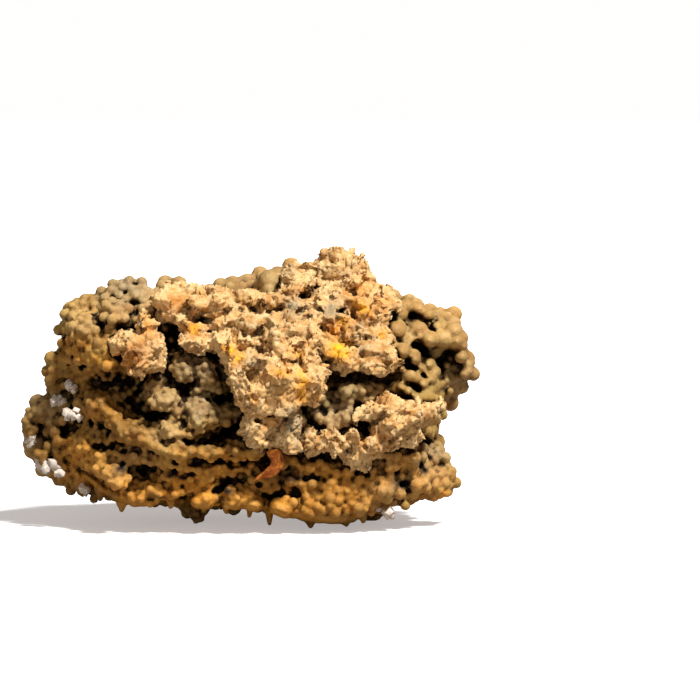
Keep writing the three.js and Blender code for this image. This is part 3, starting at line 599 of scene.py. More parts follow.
def occupancyOf(pieces):
    # Which cells of a grid lie inside the stone, found by looking through it from the front.
    low = np.array(depthSettings["grid corner"])
    shape, cell = depthSettings["grid cells"], depthSettings["cell"]
    filled = np.zeros(shape, dtype=bool)
    ahead = Vector((0, 1, 0))
    for piece in pieces:
        tree = treeOf(piece)
        for i in range(shape[0]):
            for k in range(shape[2]):
                start = Vector((low[0] + (i + 0.5) * cell, low[1] - 1, low[2] + (k + 0.5) * cell))
                inside, entered = False, 0.0
                while True:
                    place, normal = tree.ray_cast(start, ahead)[:2]
                    if place is None:
                        break
                    if normal.y < 0:
                        if not inside:
                            inside, entered = True, place.y
                    elif inside:
                        inside = False
                        first = int((entered - low[1]) / cell + 0.5)
                        last = int((place.y - low[1]) / cell + 0.5)
                        filled[i, first:last, k] = True
                    start = place + ahead * 1e-3
    return filled, low, cell


def creviceDepths(points, normals, grid):
    # How much of what a point looks out on is stone: 0 out in the open, 1 deep in a crevice.
    filled, low, cell = grid
    ways, distances = depthSettings["ways"], depthSettings["distances"]
    turn = np.arange(ways) * depthSettings["golden angle"]
    up = 1 - (np.arange(ways) + 0.5) / ways
    ring = np.sqrt(1 - up ** 2)
    local = np.stack([ring * np.cos(turn), ring * np.sin(turn), up], axis=1)
    side = np.cross(normals, np.where(np.abs(normals[:, :1]) < 0.8, [[1.0, 0, 0]], [[0, 1.0, 0]]))
    side /= np.linalg.norm(side, axis=1)[:, None]
    other = np.cross(normals, side)
    blocked = np.zeros(len(points))
    weight = 0.0
    for lx, ly, lz in local:
        direction = side * lx + other * ly + normals * lz
        hit = np.zeros(len(points), dtype=bool)
        nearness = np.zeros(len(points))
        for distance in distances:
            cells = ((points + direction * distance - low) / cell).astype(int)
            cells = np.clip(cells, 0, np.array(filled.shape) - 1)
            new = filled[cells[:, 0], cells[:, 1], cells[:, 2]] & ~hit
            nearness[new] = 1 - 0.6 * distance / distances[-1]
            hit |= new
        blocked += nearness * lz
        weight += lz
    return blocked / weight


def humpsOf(piece, rounds):
    # How far each point stands above (+) or below (-) the evened-out surface around it, in mm.
    points, normals = pointsOf(piece), normalsOf(piece)
    edges = np.empty(len(piece.data.edges) * 2, dtype=np.int64)
    piece.data.edges.foreach_get("vertices", edges)
    a, b = edges.reshape(-1, 2).T
    ends = np.r_[a, b]
    count = np.bincount(ends, minlength=len(points))[:, None]
    even = points.copy()
    for _ in range(rounds):
        sums = [np.bincount(ends, np.r_[even[b, k], even[a, k]], len(points)) for k in range(3)]
        even += 0.6 * (np.stack(sums, axis=1) / count - even)
    return ((points - even) * normals).sum(axis=1)


def weighted(piece, name, weights):
    # A vertex group with the weights in steps of a tenth.
    group = piece.vertex_groups.new(name=name)
    steps = np.round(np.asarray(weights) * 10).astype(int)
    for step in range(1, 11):
        group.add(np.flatnonzero(steps == step).tolist(), step / 10, "REPLACE")
    return group.name


def eased(piece, weights, rounds):
    # Evens out the surface where the weights say so.
    applied(piece, "SMOOTH", factor=0.5, iterations=rounds, vertex_group=weighted(piece, "eased", weights))
    piece.vertex_groups.clear()


def storeField(piece, name, values):
    field = piece.data.attributes.new(name, "FLOAT", "POINT")
    field.data.foreach_set("value", np.clip(values, 0, 1).astype(np.float32))


crustPile = growCrust()
crustFront = copyOf(crustPile, "crust_front")
fuse(crustFront, crustSettings["skin voxel"], rounds=1, factor=0.35)
points = pointsOf(crustFront)
eased(crustFront, np.maximum(inZone(points, "smooth lobes"), 0.7 * smoothnessAt(points)), 9)
crustBack = copyOf(crustPile, "crust_back")
fuse(crustBack, crustSettings["back voxel"], rounds=1, factor=0.3)
bpy.data.objects.remove(crustPile)
print("crust grown")


# The host rock: what is left of the crumbly tan rock that the crust grew on

rockSettings = {
    "forward": 0.4,  # the whole rock lies this much nearer the front than its blocks say
    "swell": 0.7,  # a block's half size as a share of its size
    "fuse voxel": 0.34,
    "skin voxel": 0.225,
    "crumb size": 0.55,
    "crumb crowding": 0.6,
    "crumb candidates": 16000,
    "blocks": (1.3, 0.5),  # size and strength of the relief, here and in the next three
    "cracks": (1.5, 0.45),
    "relief": (0.8, 0.35),
    "grit": (0.35, 0.2),
}

# Broken blocks: x, z, front, width, height, depth and tilt in degrees.
upperBlocks = [
    (-10.6, 33.9, -12.9, 4.6, 4.4, 9, 4), (-7.8, 34.3, -12.9, 3.0, 4.2, 9, -6),
    (-4.4, 34.1, -12.9, 4.8, 3.9, 9, -6), (-1.4, 33.4, -12.6, 3.8, 3.0, 8, -12),
    (-9.4, 31.9, -13.4, 3.0, 1.8, 7, -36), (-7.7, 30.4, -13.8, 1.8, 2.0, 6, 30),
    (1.0, 34.5, -12.4, 3.8, 1.6, 7, -8), (3.6, 33.9, -12.8, 3.8, 1.7, 7, 8),
    (-3.0, 31.6, -13.0, 5.0, 1.6, 7, 4), (-7.0, 28.3, -15.7, 3.6, 1.9, 7, 10),
    (-4.6, 29.0, -15.4, 3.4, 2.4, 7, 0), (-2.2, 30.0, -15.0, 3.4, 2.6, 7, 0),
    (0.8, 31.2, -14.8, 3.8, 2.4, 7, 6), (3.2, 30.7, -15.2, 4.2, 2.8, 7, 14),
    (0.2, 28.4, -15.6, 3.0, 2.0, 7, -20), (-2.8, 27.4, -17.0, 2.4, 2.6, 6, -10),
    (5.6, 32.0, -14.4, 1.8, 1.6, 6, 0), (2.2, 28.6, -15.4, 3.0, 2.6, 6, 0),
    (5.4, 28.6, -17.4, 3.9, 3.8, 8, -14), (8.2, 28.2, -17.0, 4.6, 5.0, 8, -8),
    (7.0, 30.6, -16.0, 4.6, 2.6, 7, -20), (5.0, 26.4, -17.8, 3.4, 2.2, 7, 10),
    (9.2, 25.9, -17.6, 2.8, 1.8, 7, -8), (9.4, 31.4, -14.6, 2.6, 2.4, 7, -30),
    (0.8, 25.9, -18.6, 3.6, 2.2, 7, -14), (2.8, 23.6, -20.4, 5.2, 4.2, 8, 6),
    (6.2, 22.8, -20.6, 5.6, 4.8, 8, -8), (1.4, 21.0, -20.0, 4.2, 4.0, 8, -20),
    (5.0, 20.0, -20.2, 5.4, 2.8, 8, 0), (8.6, 22.2, -19.8, 3.2, 4.6, 7, 24),
    (10.4, 23.4, -18.9, 3.8, 1.9, 6, 38), (10.2, 21.9, -18.6, 2.4, 1.8, 6, 50),
    (-1.2, 23.6, -19.2, 1.9, 5.0, 6, 16), (-0.2, 21.2, -19.4, 2.0, 4.2, 6, 24),
    (2.4, 19.2, -18.8, 3.6, 2.0, 7, -6), (1.2, 17.6, -17.6, 2.2, 3.0, 6, 6),
    (2.6, 16.0, -18.6, 4.8, 3.6, 8, 4), (4.6, 15.2, -18.2, 4.0, 3.4, 7, 0),
    (6.6, 16.2, -17.6, 2.9, 4.6, 7, -10), (3.8, 17.5, -18.4, 3.0, 1.4, 6, 10),
    (6.2, 13.9, -17.4, 3.2, 1.8, 6, -8), (1.6, 14.6, -18.0, 2.8, 2.0, 6, 14),
    (8.6, 37.5, -7.4, 6.4, 1.9, 8, -4), (8.4, 38.7, -5.6, 4.2, 1.3, 7, 0),
    (7.4, 36.1, -9.2, 4.4, 1.4, 7, 4), (5.8, 38.2, -6.0, 1.6, 1.6, 6, 30),
    (11.2, 35.5, -9.8, 2.9, 2.3, 7, 0), (12.9, 36.5, -9.0, 2.8, 2.8, 7, -14),
    (12.0, 38.6, -6.4, 3.0, 1.6, 8, 12), (13.8, 39.9, -5.8, 5.0, 2.6, 8, 0),
    (14.6, 38.3, -6.8, 3.6, 1.6, 8, -24), (15.7, 36.6, -8.2, 2.4, 3.2, 7, 34),
    (17.6, 37.2, -5.4, 1.9, 3.9, 7, 16), (16.2, 39.2, -5.0, 2.2, 2.2, 7, -30),
    (17.4, 35.4, -8.4, 3.6, 2.2, 8, -20), (19.6, 35.3, -7.2, 2.9, 1.7, 8, -16),
    (21.2, 33.9, -7.4, 2.7, 1.6, 7, -34), (14.2, 35.0, -9.6, 2.6, 1.6, 7, 10),
    (6.8, 33.9, -13.0, 2.7, 2.4, 7, -50), (9.3, 33.4, -12.4, 2.4, 2.8, 7, 20),
    (12.5, 33.3, -11.2, 3.6, 1.7, 7, 16), (16.7, 33.2, -11.4, 4.0, 2.6, 7, 22),
    (19.4, 33.6, -9.4, 2.8, 1.7, 7, -20), (12.4, 31.4, -12.6, 3.2, 2.6, 7, -16),
    (14.5, 31.5, -12.2, 2.0, 2.2, 6, 0), (17.0, 31.2, -12.6, 4.2, 2.1, 7, 8),
    (19.6, 31.9, -10.8, 1.6, 2.2, 6, -60), (12.0, 29.4, -14.2, 3.6, 1.7, 7, -26),
    (16.0, 29.4, -14.0, 3.0, 1.8, 7, 6), (19.6, 29.5, -13.0, 3.8, 1.7, 7, -10),
    (18.4, 28.4, -14.2, 2.6, 1.2, 6, 0), (12.9, 27.7, -16.4, 3.8, 2.2, 6, -44),
    (14.6, 25.9, -16.8, 3.4, 2.6, 6, -40), (17.4, 27.0, -16.0, 3.8, 2.6, 6, -16),
    (20.2, 26.0, -15.4, 4.0, 2.8, 7, -26), (18.4, 25.1, -16.0, 4.4, 1.6, 6, -14),
    (10.6, 27.6, -15.4, 2.2, 2.6, 6, 0),
]
lowerBlocks = [
    (21.6, 18.5, -16.2, 3.8, 3.0, 7, -20), (24.0, 17.6, -15.6, 3.9, 3.8, 7, -24),
    (21.8, 16.5, -16.4, 4.0, 2.6, 7, -10), (18.4, 18.3, -16.4, 3.6, 2.2, 6, 30),
    (18.2, 13.4, -15.8, 3.4, 2.6, 6, -20), (16.4, 12.2, -15.8, 3.0, 3.2, 6, -6),
    (13.4, 13.4, -16.2, 4.2, 1.8, 6, -10), (10.6, 13.6, -15.8, 3.8, 1.6, 6, 10),
    (9.2, 14.8, -15.8, 2.6, 1.8, 6, -30), (12.6, 14.9, -15.8, 3.4, 1.2, 6, 4),
    (27.0, 18.4, -12.8, 3.4, 3.4, 7, -30), (26.6, 16.9, -12.4, 3.0, 1.6, 7, 8),
    (21.6, 14.2, -14.8, 3.4, 2.4, 7, 4), (23.9, 14.6, -13.8, 2.9, 2.2, 7, -4),
    (19.6, 15.0, -15.4, 2.2, 2.2, 6, 0), (15.4, 14.2, -15.8, 1.9, 2.4, 6, 20),
]
shoulderBlocks = [
    (-15.6, 27.0, -16.4, 3.9, 4.0, 7, 0), (-14.0, 27.8, -16.0, 2.4, 4.2, 6, 24),
    (-15.0, 25.2, -16.0, 4.2, 1.6, 6, 0), (-18.2, 28.9, -14.8, 3.0, 1.3, 5, 18),
    (-16.8, 29.4, -14.8, 2.6, 1.0, 5, -12), (-14.5, 30.4, -14.6, 1.0, 2.2, 5, 34),
    (-15.0, 31.6, -14.0, 0.9, 1.2, 5, -10), (-19.4, 28.2, -14.4, 1.2, 1.2, 4, 0),
]


def shardShapes(kinds):
    # A few angular chunks: flat-faced hulls around scattered points.
    shapes = []
    for _ in range(kinds):
        way = chance.normal(0, 1, (15, 3))
        way /= np.linalg.norm(way, axis=1)[:, None]
        way /= np.abs(way).max(axis=1)[:, None] ** 0.6
        mesh = bpy.data.meshes.new("shard")
        mesh.from_pydata((way * 0.92).tolist(), [], [])
        shard = bpy.data.objects.new("shard", mesh)
        bpy.context.collection.objects.link(shard)
        selectOnly(shard)
        bpy.ops.object.mode_set(mode="EDIT")
        bpy.ops.mesh.select_all(action="SELECT")
        bpy.ops.mesh.convex_hull()
        bpy.ops.mesh.select_all(action="SELECT")
        bpy.ops.mesh.quads_convert_to_tris()
        bpy.ops.object.mode_set(mode="OBJECT")
        shapes.append(shapeOf(shard))
    return shapes


shards = shardShapes(6)

# Broad plates that are smoother than the rubble: x, z, half width, half height.
plates = [
    (-9.9, 34.0, 2.6, 2.2), (-4.4, 34.0, 3.6, 1.9), (3.2, 21.6, 4.2, 3.2), (8.4, 22.4, 2.4, 3.0),
    (3.6, 15.8, 2.8, 2.2), (23.6, 17.8, 3.2, 2.2), (13.0, 27.6, 2.0, 1.5), (-15.0, 28.6, 1.8, 2.6),
    (17.8, 15.6, 2.8, 1.6), (14.0, 40.0, 2.4, 1.2), (6.8, 33.8, 1.5, 1.5), (26.8, 18.2, 1.8, 2.2),
    (0.8, 26.0, 1.6, 1.1), (17.8, 26.6, 2.4, 1.2),
]


def platedAt(points):
    x, z = points[:, 0], points[:, 2]
    near = [np.exp(-(((x - px) / w) ** 2 + ((z - pz) / h) ** 2) ** 2) for px, pz, w, h in plates]
    return np.max(near, axis=0)


def shardPile(name, centres, halfSizes, turns):
    # Each place takes one of the chunks in turn.
    centres, halfSizes, turns = np.array(centres), np.array(halfSizes), np.array(turns)
    piles = []
    for kind, shape in enumerate(shards):
        some = np.arange(len(centres)) % len(shards) == kind
        if some.any():
            piles.append(pileUp(name + str(kind), shape, centres[some], halfSizes[some], turns[some]))
    return joined(piles, name)


def roughened(piece, size, strength, middle=0.5, group="", **looks):
    # Relief along the surface from Blender's own cloud pattern.
    pattern = bpy.data.textures.new("clouds", "CLOUDS")
    pattern.noise_scale = size * mm
    for key, value in looks.items():
        setattr(pattern, key, value)
    settings = {"texture": pattern, "texture_coords": "LOCAL", "vertex_group": group}
    applied(piece, "DISPLACE", strength=strength * mm, mid_level=middle, **settings)
    bpy.data.textures.remove(pattern)
    return piece


def breakRock(name, blocks, ridges=()):
    centres, sizes, turns = [], [], []
    for x, z, front, w, h, d, tilt in blocks:
        centres.append((x, front + d / 2 - rockSettings["forward"], z))
        sizes.append((rockSettings["swell"] * w, 0.56 * d, rockSettings["swell"] * h))
        lean = chance.uniform(-0.15, 0.15, 2)
        turn = Matrix.Rotation(math.radians(-tilt), 3, "Y") @ Matrix.Rotation(lean[0], 3, "X")
        turns.append(np.array(turn @ Matrix.Rotation(lean[1], 3, "Z")))
    rock = shardPile(name + "_blocks", centres, sizes, turns)
    fuse(rock, rockSettings["fuse voxel"], rounds=0)

    # Flat broken crumbs of all sizes lie over the blocks.
    spots, outward = scatteredOn(rock, rockSettings["crumb candidates"])
    front = outward[:, 1] < 0.6
    spots, outward = spots[front], outward[front]
    r = rockSettings["crumb size"] * (0.55 + 1.9 * chance.random(len(spots)) ** 2.5)
    fits = crowded(spots, r, rockSettings["crumb crowding"])
    fits = fits[chance.random(len(fits)) > 0.8 * platedAt(spots[fits])]
    spots, outward, r = spots[fits], outward[fits], r[fits]
    wide = r * chance.uniform(0.9, 1.7, len(r))
    broad = r * chance.uniform(0.8, 1.2, len(r))
    halves = np.stack([wide, broad, 0.55 * r], axis=1)
    turns = np.array([np.array(Vector(way).to_track_quat("Z", "X").to_matrix()) for way in outward])
    turns = np.einsum("nij,njk->nik", turns, randomTurns(len(spots), 0.5))
    crumbs = shardPile(name + "_crumbs", spots, halves, turns)
    parts = [rock, crumbs]
    if ridges:
        parts.append(ridgePile(name + "_ridges", ridges))
    rock = joined(parts, name)
    fuse(rock, rockSettings["skin voxel"], rounds=0)
    rubble = weighted(rock, "rubble", 1 - 0.75 * platedAt(pointsOf(rock)))
    roughened(rock, *rockSettings["blocks"], group=rubble, noise_depth=1, noise_basis="CELL_NOISE")
    roughened(rock, *rockSettings["cracks"], middle=1.0, noise_depth=0, noise_basis="VORONOI_CRACKLE")
    roughened(rock, *rockSettings["relief"], group=rubble, noise_depth=2)
    roughened(rock, *rockSettings["grit"], group=rubble, noise_depth=1, noise_type="HARD_NOISE")
    rock.vertex_groups.clear()
    print(name + ":", len(facesOf(rock)), "triangles")
    return rock


# The pale ridges down the left edge of the large plate: x, z and front.
plateRidges = [
    [(-2.5, 25.4, -18.9), (-2.1, 23.4, -19.3), (-1.4, 21.4, -19.6), (-0.5, 19.8, -19.6)],
    [(-1.9, 25.6, -19.2), (-1.3, 23.6, -19.7), (-0.6, 21.6, -20.0), (0.4, 19.9, -20.0)],
    [(-1.2, 25.0, -19.4), (-0.5, 23.2, -20.0), (0.4, 21.4, -20.3), (1.2, 20.0, -20.3)],
    [(-0.2, 24.6, -19.8), (0.4, 23.2, -20.3), (1.0, 22.0, -20.5)],
]


def ridgePile(name, lines):
    centres, sizes = [], []
    for line in lines:
        line = np.array(line)
        for share in np.linspace(0, len(line) - 1, 26):
            x, z, front = [np.interp(share, range(len(line)), line[:, k]) for k in range(3)]
            centres.append((x + 0.06 * math.sin(9 * share), front + 0.4 - rockSettings["forward"], z))
            sizes.append((0.24, 0.5, 0.34))
    return pileUp(name, ballShape(1), centres, sizes)


rockUpper = breakRock("rock_upper", upperBlocks, plateRidges)
rockLower = breakRock("rock_lower", lowerBlocks)
rockShoulder = breakRock("rock_shoulder", shoulderBlocks)
print("host rock broken")


# The calcite between the ledges: clusters of small white rhombs, one for each node

calciteSettings = {
    "calcite_left_top": {"count": 7, "size": 1.0},
    "calcite_left_outer": {"count": 7, "size": 0.9},
    "calcite_left_inner": {"count": 9, "size": 1.0},
    "calcite_lobe_upper": {"count": 8, "size": 0.9},
    "calcite_lobe_lower": {"count": 6, "size": 1.3},
    "calcite_low_left": {"count": 12, "size": 1.1},
    "calcite_under_left": {"count": 6, "size": 1.1},
    "calcite_crevice": {"count": 7, "size": 0.8},
    "calcite_low_right": {"count": 9, "size": 1.0},
}


def rhombShape():
    # A cleavage rhomb: a cube sheared along two ways, its edges barely worn.
    bpy.ops.object.select_all(action="DESELECT")
    bpy.ops.mesh.primitive_cube_add(size=2)
    rhomb = bpy.context.object
    for vertex in rhomb.data.vertices:
        x, y, z = vertex.co
        vertex.co = (x + 0.26 * z, y + 0.18 * z, z * 0.9)
    applied(rhomb, "BEVEL", width=0.09, segments=1, limit_method="NONE")
    applied(rhomb, "TRIANGULATE")
    return shapeOf(rhomb)


def growCalcite(node, settings, shape):
    low, high = [np.array(corner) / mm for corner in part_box(node)]
    middle, half = (low + high) / 2, (high - low) / 2
    cluster = None
    for i in range(settings["count"]):
        place = middle + half * chance.uniform(-0.62, 0.62, 3) * (0.3 if i == 0 else 1.0)
        size = 0.5 * settings["size"] * chance.uniform(0.55, 1.05)
        halves = [size * chance.uniform(0.75, 1.2, 3)]
        rhomb = pileUp(node + "_rhomb", shape, [place], halves, randomTurns(1, 1.2))
        if cluster is None:
            cluster = rhomb
            continue
        applied(cluster, "BOOLEAN", operation="UNION", object=rhomb, solver="MANIFOLD")
        bpy.data.objects.remove(rhomb)
    cluster.name = node + "_crystals"
    return cluster


rhomb = rhombShape()
calcites = {node: growCalcite(node, settings, rhomb) for node, settings in calciteSettings.items()}
print("calcite grown")


# The rusty flake wedged in the crevice

flakeSettings = {
    "outline": [
        (0.9, 8.2), (2.0, 8.5), (3.2, 8.7), (4.2, 9.0), (4.9, 9.7), (5.5, 10.6), (5.9, 11.5), (5.4, 12.0),
        (5.3, 12.8), (4.6, 13.1), (3.6, 13.0), (2.9, 12.6), (3.3, 11.9), (3.8, 11.3), (3.5, 10.6), (2.8, 9.9),
        (1.8, 9.1),
    ],
    "front": -17.0,
    "thickness": 0.9,
    "voxel": 0.16,
    "relief": (0.9, 0.3),  # size and strength
}


def cutFlake():
    outline = flakeSettings["outline"]
    mesh = bpy.data.meshes.new("flake")
    corners = [(x * mm, flakeSettings["front"] * mm, z * mm) for x, z in outline]
    mesh.from_pydata(corners, [], [range(len(outline))])
    flake = bpy.data.objects.new("rust_flake", mesh)
    bpy.context.collection.objects.link(flake)
    applied(flake, "SOLIDIFY", thickness=flakeSettings["thickness"] * mm, offset=-1)
    fuse(flake, flakeSettings["voxel"], rounds=3)
    points = pointsOf(flake)
    x, z = points[:, 0], points[:, 2]
    points[:, 1] += 0.28 * np.sin(1.6 * x - 1.1 * z) + 0.05 * (x - 3.5) ** 2 * np.sign(x - 3.5) * 0.4
    movePoints(flake, points)
    roughened(flake, *flakeSettings["relief"], noise_depth=2)
    return flake


flake = cutFlake()
print("flake cut")


# Fields stored on the points: how deep in a crevice, how proud, and which stain or patch of painted shade it
# carries

# Soft stains and patches of painted shade: x, z, half width, half height and strength.
goldenStains = [
    (-20.0, 6.5, 12.0, 4.0, 1.0), (-8.0, 6.5, 12.0, 3.6, 1.0), (6.0, 4.5, 14.0, 5.0, 0.95),
    (-24.0, 11.5, 6.0, 4.0, 0.8), (12.0, 8.0, 12.0, 5.0, 0.85), (-19.0, 25.6, 8.0, 1.8, 0.85),
    (-26.0, 27.6, 3.0, 3.0, 0.6), (-24.0, 22.0, 5.0, 3.0, 0.55), (-4.0, 10.5, 9.0, 3.2, 0.8),
    (-21.0, 17.5, 5.0, 2.6, 0.6), (22.0, 10.6, 4.0, 2.6, 0.7), (-16.0, 14.6, 4.0, 2.0, 0.45),
    (29.2, 4.6, 1.6, 1.2, 1.3), (25.5, 6.5, 5.0, 3.0, 0.6), (-6.0, 15.6, 5.0, 1.2, 0.5),
    (-22.5, 31.5, 5.0, 2.4, 0.35), (-31.0, 13.0, 3.0, 4.0, 0.45),
]
greyStains = [
    (-17.5, 36.0, 5.0, 2.2, 1.0), (-7.6, 24.4, 4.6, 3.0, 0.8), (-8.0, 20.4, 5.0, 2.2, 0.7),
    (-6.6, 18.2, 2.8, 2.4, 0.65), (13.4, 18.6, 5.0, 3.0, 0.8), (15.0, 21.4, 5.0, 1.8, 0.6),
    (-12.4, 20.6, 3.0, 2.0, 0.55), (28.0, 11.4, 3.0, 1.8, 0.8), (19.5, 11.4, 3.2, 1.6, 0.6),
    (-24.0, 31.0, 2.4, 1.6, 0.5), (-11.6, 15.4, 2.6, 1.4, 0.5), (-19.0, 33.2, 3.0, 2.0, 0.45),
    (3.2, 37.0, 3.4, 3.0, 0.45), (31.6, 24.0, 3.0, 3.0, 0.35), (-30.5, 17.5, 3.6, 2.4, 0.5),
]
paleStains = [
    (26.0, 28.8, 8.0, 4.0, 0.6), (30.6, 29.6, 3.4, 2.4, 0.75), (24.6, 25.2, 5.0, 3.6, 0.55),
    (25.0, 33.0, 3.4, 1.8, 0.7), (-14.0, 34.0, 3.0, 2.6, 0.5), (-19.0, 32.6, 3.0, 2.0, 0.45),
    (-12.4, 20.2, 3.0, 1.6, 0.5), (-11.4, 15.6, 3.2, 1.6, 0.6), (-16.6, 11.4, 3.4, 1.6, 0.4),
    (21.6, 6.6, 3.6, 1.8, 0.6), (27.6, 8.0, 3.0, 2.6, 0.55), (-19.6, 8.8, 2.4, 1.6, 0.4),
    (2.6, 37.6, 3.2, 2.0, 0.4), (32.0, 24.0, 2.6, 2.8, 0.4), (-25.6, 33.0, 3.0, 2.0, 0.4),
    (12.6, 17.0, 4.0, 2.0, 0.4),
]
# Painted shade: near-black patches in the deep holes and under the belly.
darkHoleShade = [
    (-18.2, 9.8, 1.3, 0.9, 1.0), (-11.2, 9.0, 0.9, 0.6, 1.0), (-2.9, 6.9, 1.5, 0.9, 1.0),
    (-3.3, 5.3, 0.7, 0.4, 0.8), (22.9, 7.1, 1.7, 0.9, 1.0), (-12.8, 5.6, 1.6, 0.4, 0.8),
    (26.4, 9.2, 0.9, 0.6, 0.9), (-10.6, 29.2, 2.8, 2.6, 0.5), (-8.6, 26.5, 2.0, 1.0, 0.4),
    (6.4, 8.4, 2.4, 0.7, 0.8), (8.0, 0.8, 9.0, 1.2, 0.5), (-24.0, 5.2, 5.0, 1.6, 0.6),
    (0.8, 14.6, 0.8, 0.8, 0.5),
]
# Painted shade: dark brown patches in the recesses, under the ledges and on the shaded left lobe.
umberRecessShade = [
    (-21.0, 21.4, 6.5, 3.2, 0.8), (-17.0, 17.0, 4.0, 3.0, 0.75), (-31.5, 13.5, 3.4, 5.0, 0.75),
    (-28.6, 21.0, 1.6, 4.5, 0.6), (-4.0, 14.0, 5.0, 2.0, 0.9), (-2.0, 21.0, 2.4, 4.0, 0.7),
    (-10.6, 29.0, 2.6, 2.8, 0.8), (9.0, 7.0, 8.0, 2.4, 0.55), (10.0, 3.6, 9.0, 1.8, 0.5),
    (12.0, 11.6, 8.0, 1.2, 0.45), (-21.0, 15.0, 4.0, 1.8, 0.55), (31.4, 22.6, 2.0, 2.4, 0.4),
    (26.6, 26.4, 3.4, 1.2, 0.5), (22.0, 12.6, 3.0, 1.0, 0.4), (-24.0, 4.6, 5.0, 1.8, 0.6),
    (16.0, 23.6, 4.4, 1.0, 0.9), (-6.0, 26.8, 5.0, 1.2, 0.7), (-14.0, 17.0, 3.0, 1.4, 0.5),
]
rockOrange = [
    (-10.3, 34.2, 1.9, 1.3, 0.8), (-7.7, 30.5, 0.9, 0.9, 1.2), (16.6, 33.1, 2.2, 1.6, 1.1),
    (14.4, 31.5, 1.2, 1.0, 1.0), (12.7, 30.6, 1.4, 1.6, 1.0), (8.2, 22.4, 1.2, 2.4, 0.9),
    (5.4, 24.5, 2.6, 1.0, 0.8), (-2.6, 27.8, 1.4, 0.9, 1.1), (-1.2, 26.6, 1.0, 0.9, 1.1),
    (7.4, 27.4, 1.6, 1.2, 0.6), (5.6, 20.6, 1.6, 1.0, 0.5), (4.8, 17.0, 1.2, 1.0, 0.7),
    (17.0, 36.4, 1.6, 1.6, 0.7), (19.8, 34.4, 1.4, 0.8, 0.6), (20.0, 29.8, 1.0, 0.5, 0.8),
    (20.0, 20.4, 2.0, 1.2, 0.6), (-16.8, 26.4, 1.8, 1.8, 1.0), (-14.6, 30.8, 0.9, 2.0, 0.7),
    (-18.6, 26.6, 1.8, 1.6, 0.9), (7.8, 35.3, 2.6, 0.8, 0.5), (13.6, 27.6, 1.5, 1.6, 0.9),
    (1.0, 21.0, 1.0, 0.8, 0.5), (16.0, 14.6, 1.6, 1.6, 0.3), (-4.2, 33.6, 1.4, 1.0, 0.3),
]
rockYellow = [
    (13.6, 27.5, 1.5, 1.3, 1.3), (-7.6, 30.6, 0.6, 0.8, 1.0), (-2.4, 27.9, 0.9, 0.6, 1.0),
    (-0.9, 26.6, 0.7, 0.6, 1.1), (17.2, 33.4, 1.2, 0.8, 0.9), (8.3, 23.4, 0.7, 1.4, 0.9),
    (14.5, 31.6, 0.8, 0.6, 0.9), (20.1, 29.8, 0.7, 0.4, 0.8), (7.6, 27.2, 0.8, 0.6, 0.6),
    (8.3, 21.2, 0.6, 1.2, 0.8), (5.2, 24.6, 0.9, 0.5, 0.7),
]
rockGrey = [
    (6.9, 33.9, 1.6, 1.6, 1.1), (12.9, 33.1, 2.2, 1.3, 0.9), (0.7, 26.0, 1.6, 1.2, 0.9),
    (7.0, 16.8, 2.0, 2.4, 0.9), (5.8, 38.6, 1.2, 1.0, 0.5), (16.6, 31.0, 2.0, 1.2, 0.5),
    (11.0, 38.4, 1.2, 1.0, 0.4), (17.4, 28.0, 1.6, 1.0, 0.4), (1.6, 30.8, 3.0, 1.2, 0.35),
]
rockRust = [
    (-16.3, 27.0, 1.4, 1.5, 1.2), (-10.6, 34.0, 1.5, 0.9, 0.5), (12.3, 31.0, 0.5, 1.4, 0.7),
    (17.6, 15.6, 1.5, 0.6, 0.7), (4.9, 16.9, 0.7, 0.6, 0.6), (8.0, 21.4, 0.7, 0.9, 0.5),
    (17.2, 13.5, 0.9, 0.5, 0.7), (26.6, 17.6, 0.5, 0.8, 0.8), (14.6, 38.4, 1.0, 0.8, 0.4),
    (19.6, 21.4, 1.4, 1.0, 0.5),
]


# Each field's stains and patches of painted shade; for the crust the strength and phase elsewhere, for the
# rock how uneven the rims are.
crustStainsAndShade = {
    "golden": (goldenStains, 0.7, 0.4),
    "grey": (greyStains, 0.7, 2.6),
    "pale": (paleStains, 0.4, 4.1),
    "umber": (umberRecessShade, 0.6, 5.4),
}
rockStains = {
    "orange": (rockOrange, 0.3),
    "yellow": (rockYellow, 0.2),
    "greyish": (rockGrey, 0.25),
    "rust": (rockRust, 0.2),
}


def stainAndShadeAt(points, spots, wobble=0.5):
    # The strongest of the soft stains and patches of painted shade at each point on the front, their rims
    # uneven.
    x, y, z = points.T
    wx = x + wobble * (np.sin(2.1 * z + 0.7 * x) + 0.6 * np.sin(4.7 * z + 3.1 * x))
    wz = z + wobble * (np.sin(1.9 * x + 0.9 * z) + 0.6 * np.sin(5.3 * x - 2.3 * z))
    total = np.zeros(len(points))
    for sx, sz, across, up, strength in spots:
        total = np.maximum(total, strength * np.exp(-((wx - sx) / across) ** 2 - ((wz - sz) / up) ** 2))
    return total * np.clip((6.0 - y) / 6.0, 0, 1)


def elsewhere(points, phase):
    # Broad patches for the sides and the back, from 0 to 1.
    x, y, z = points.T
    wave = np.sin(0.21 * x + phase) + np.sin(0.27 * z + 2 * phase + 0.1 * x)
    wave += np.sin(0.24 * y + 0.17 * z + 3 * phase)
    return np.clip(0.5 + 0.28 * wave, 0, 1) * np.clip((y + 2.0) / 8.0, 0, 1)


grid = occupancyOf([crustBack, rockUpper, rockLower, rockShoulder])
print("stone filled:", int(grid[0].sum()), "cells")


def storeDepths(piece, height=0.36):
    # A point this high above the evened-out surface counts as fully proud.
    points, normals = pointsOf(piece), normalsOf(piece)
    storeField(piece, "crevice", creviceDepths(points, normals, grid))
    storeField(piece, "hump", 0.5 + humpsOf(piece, 14) / (2 * height))
    return points


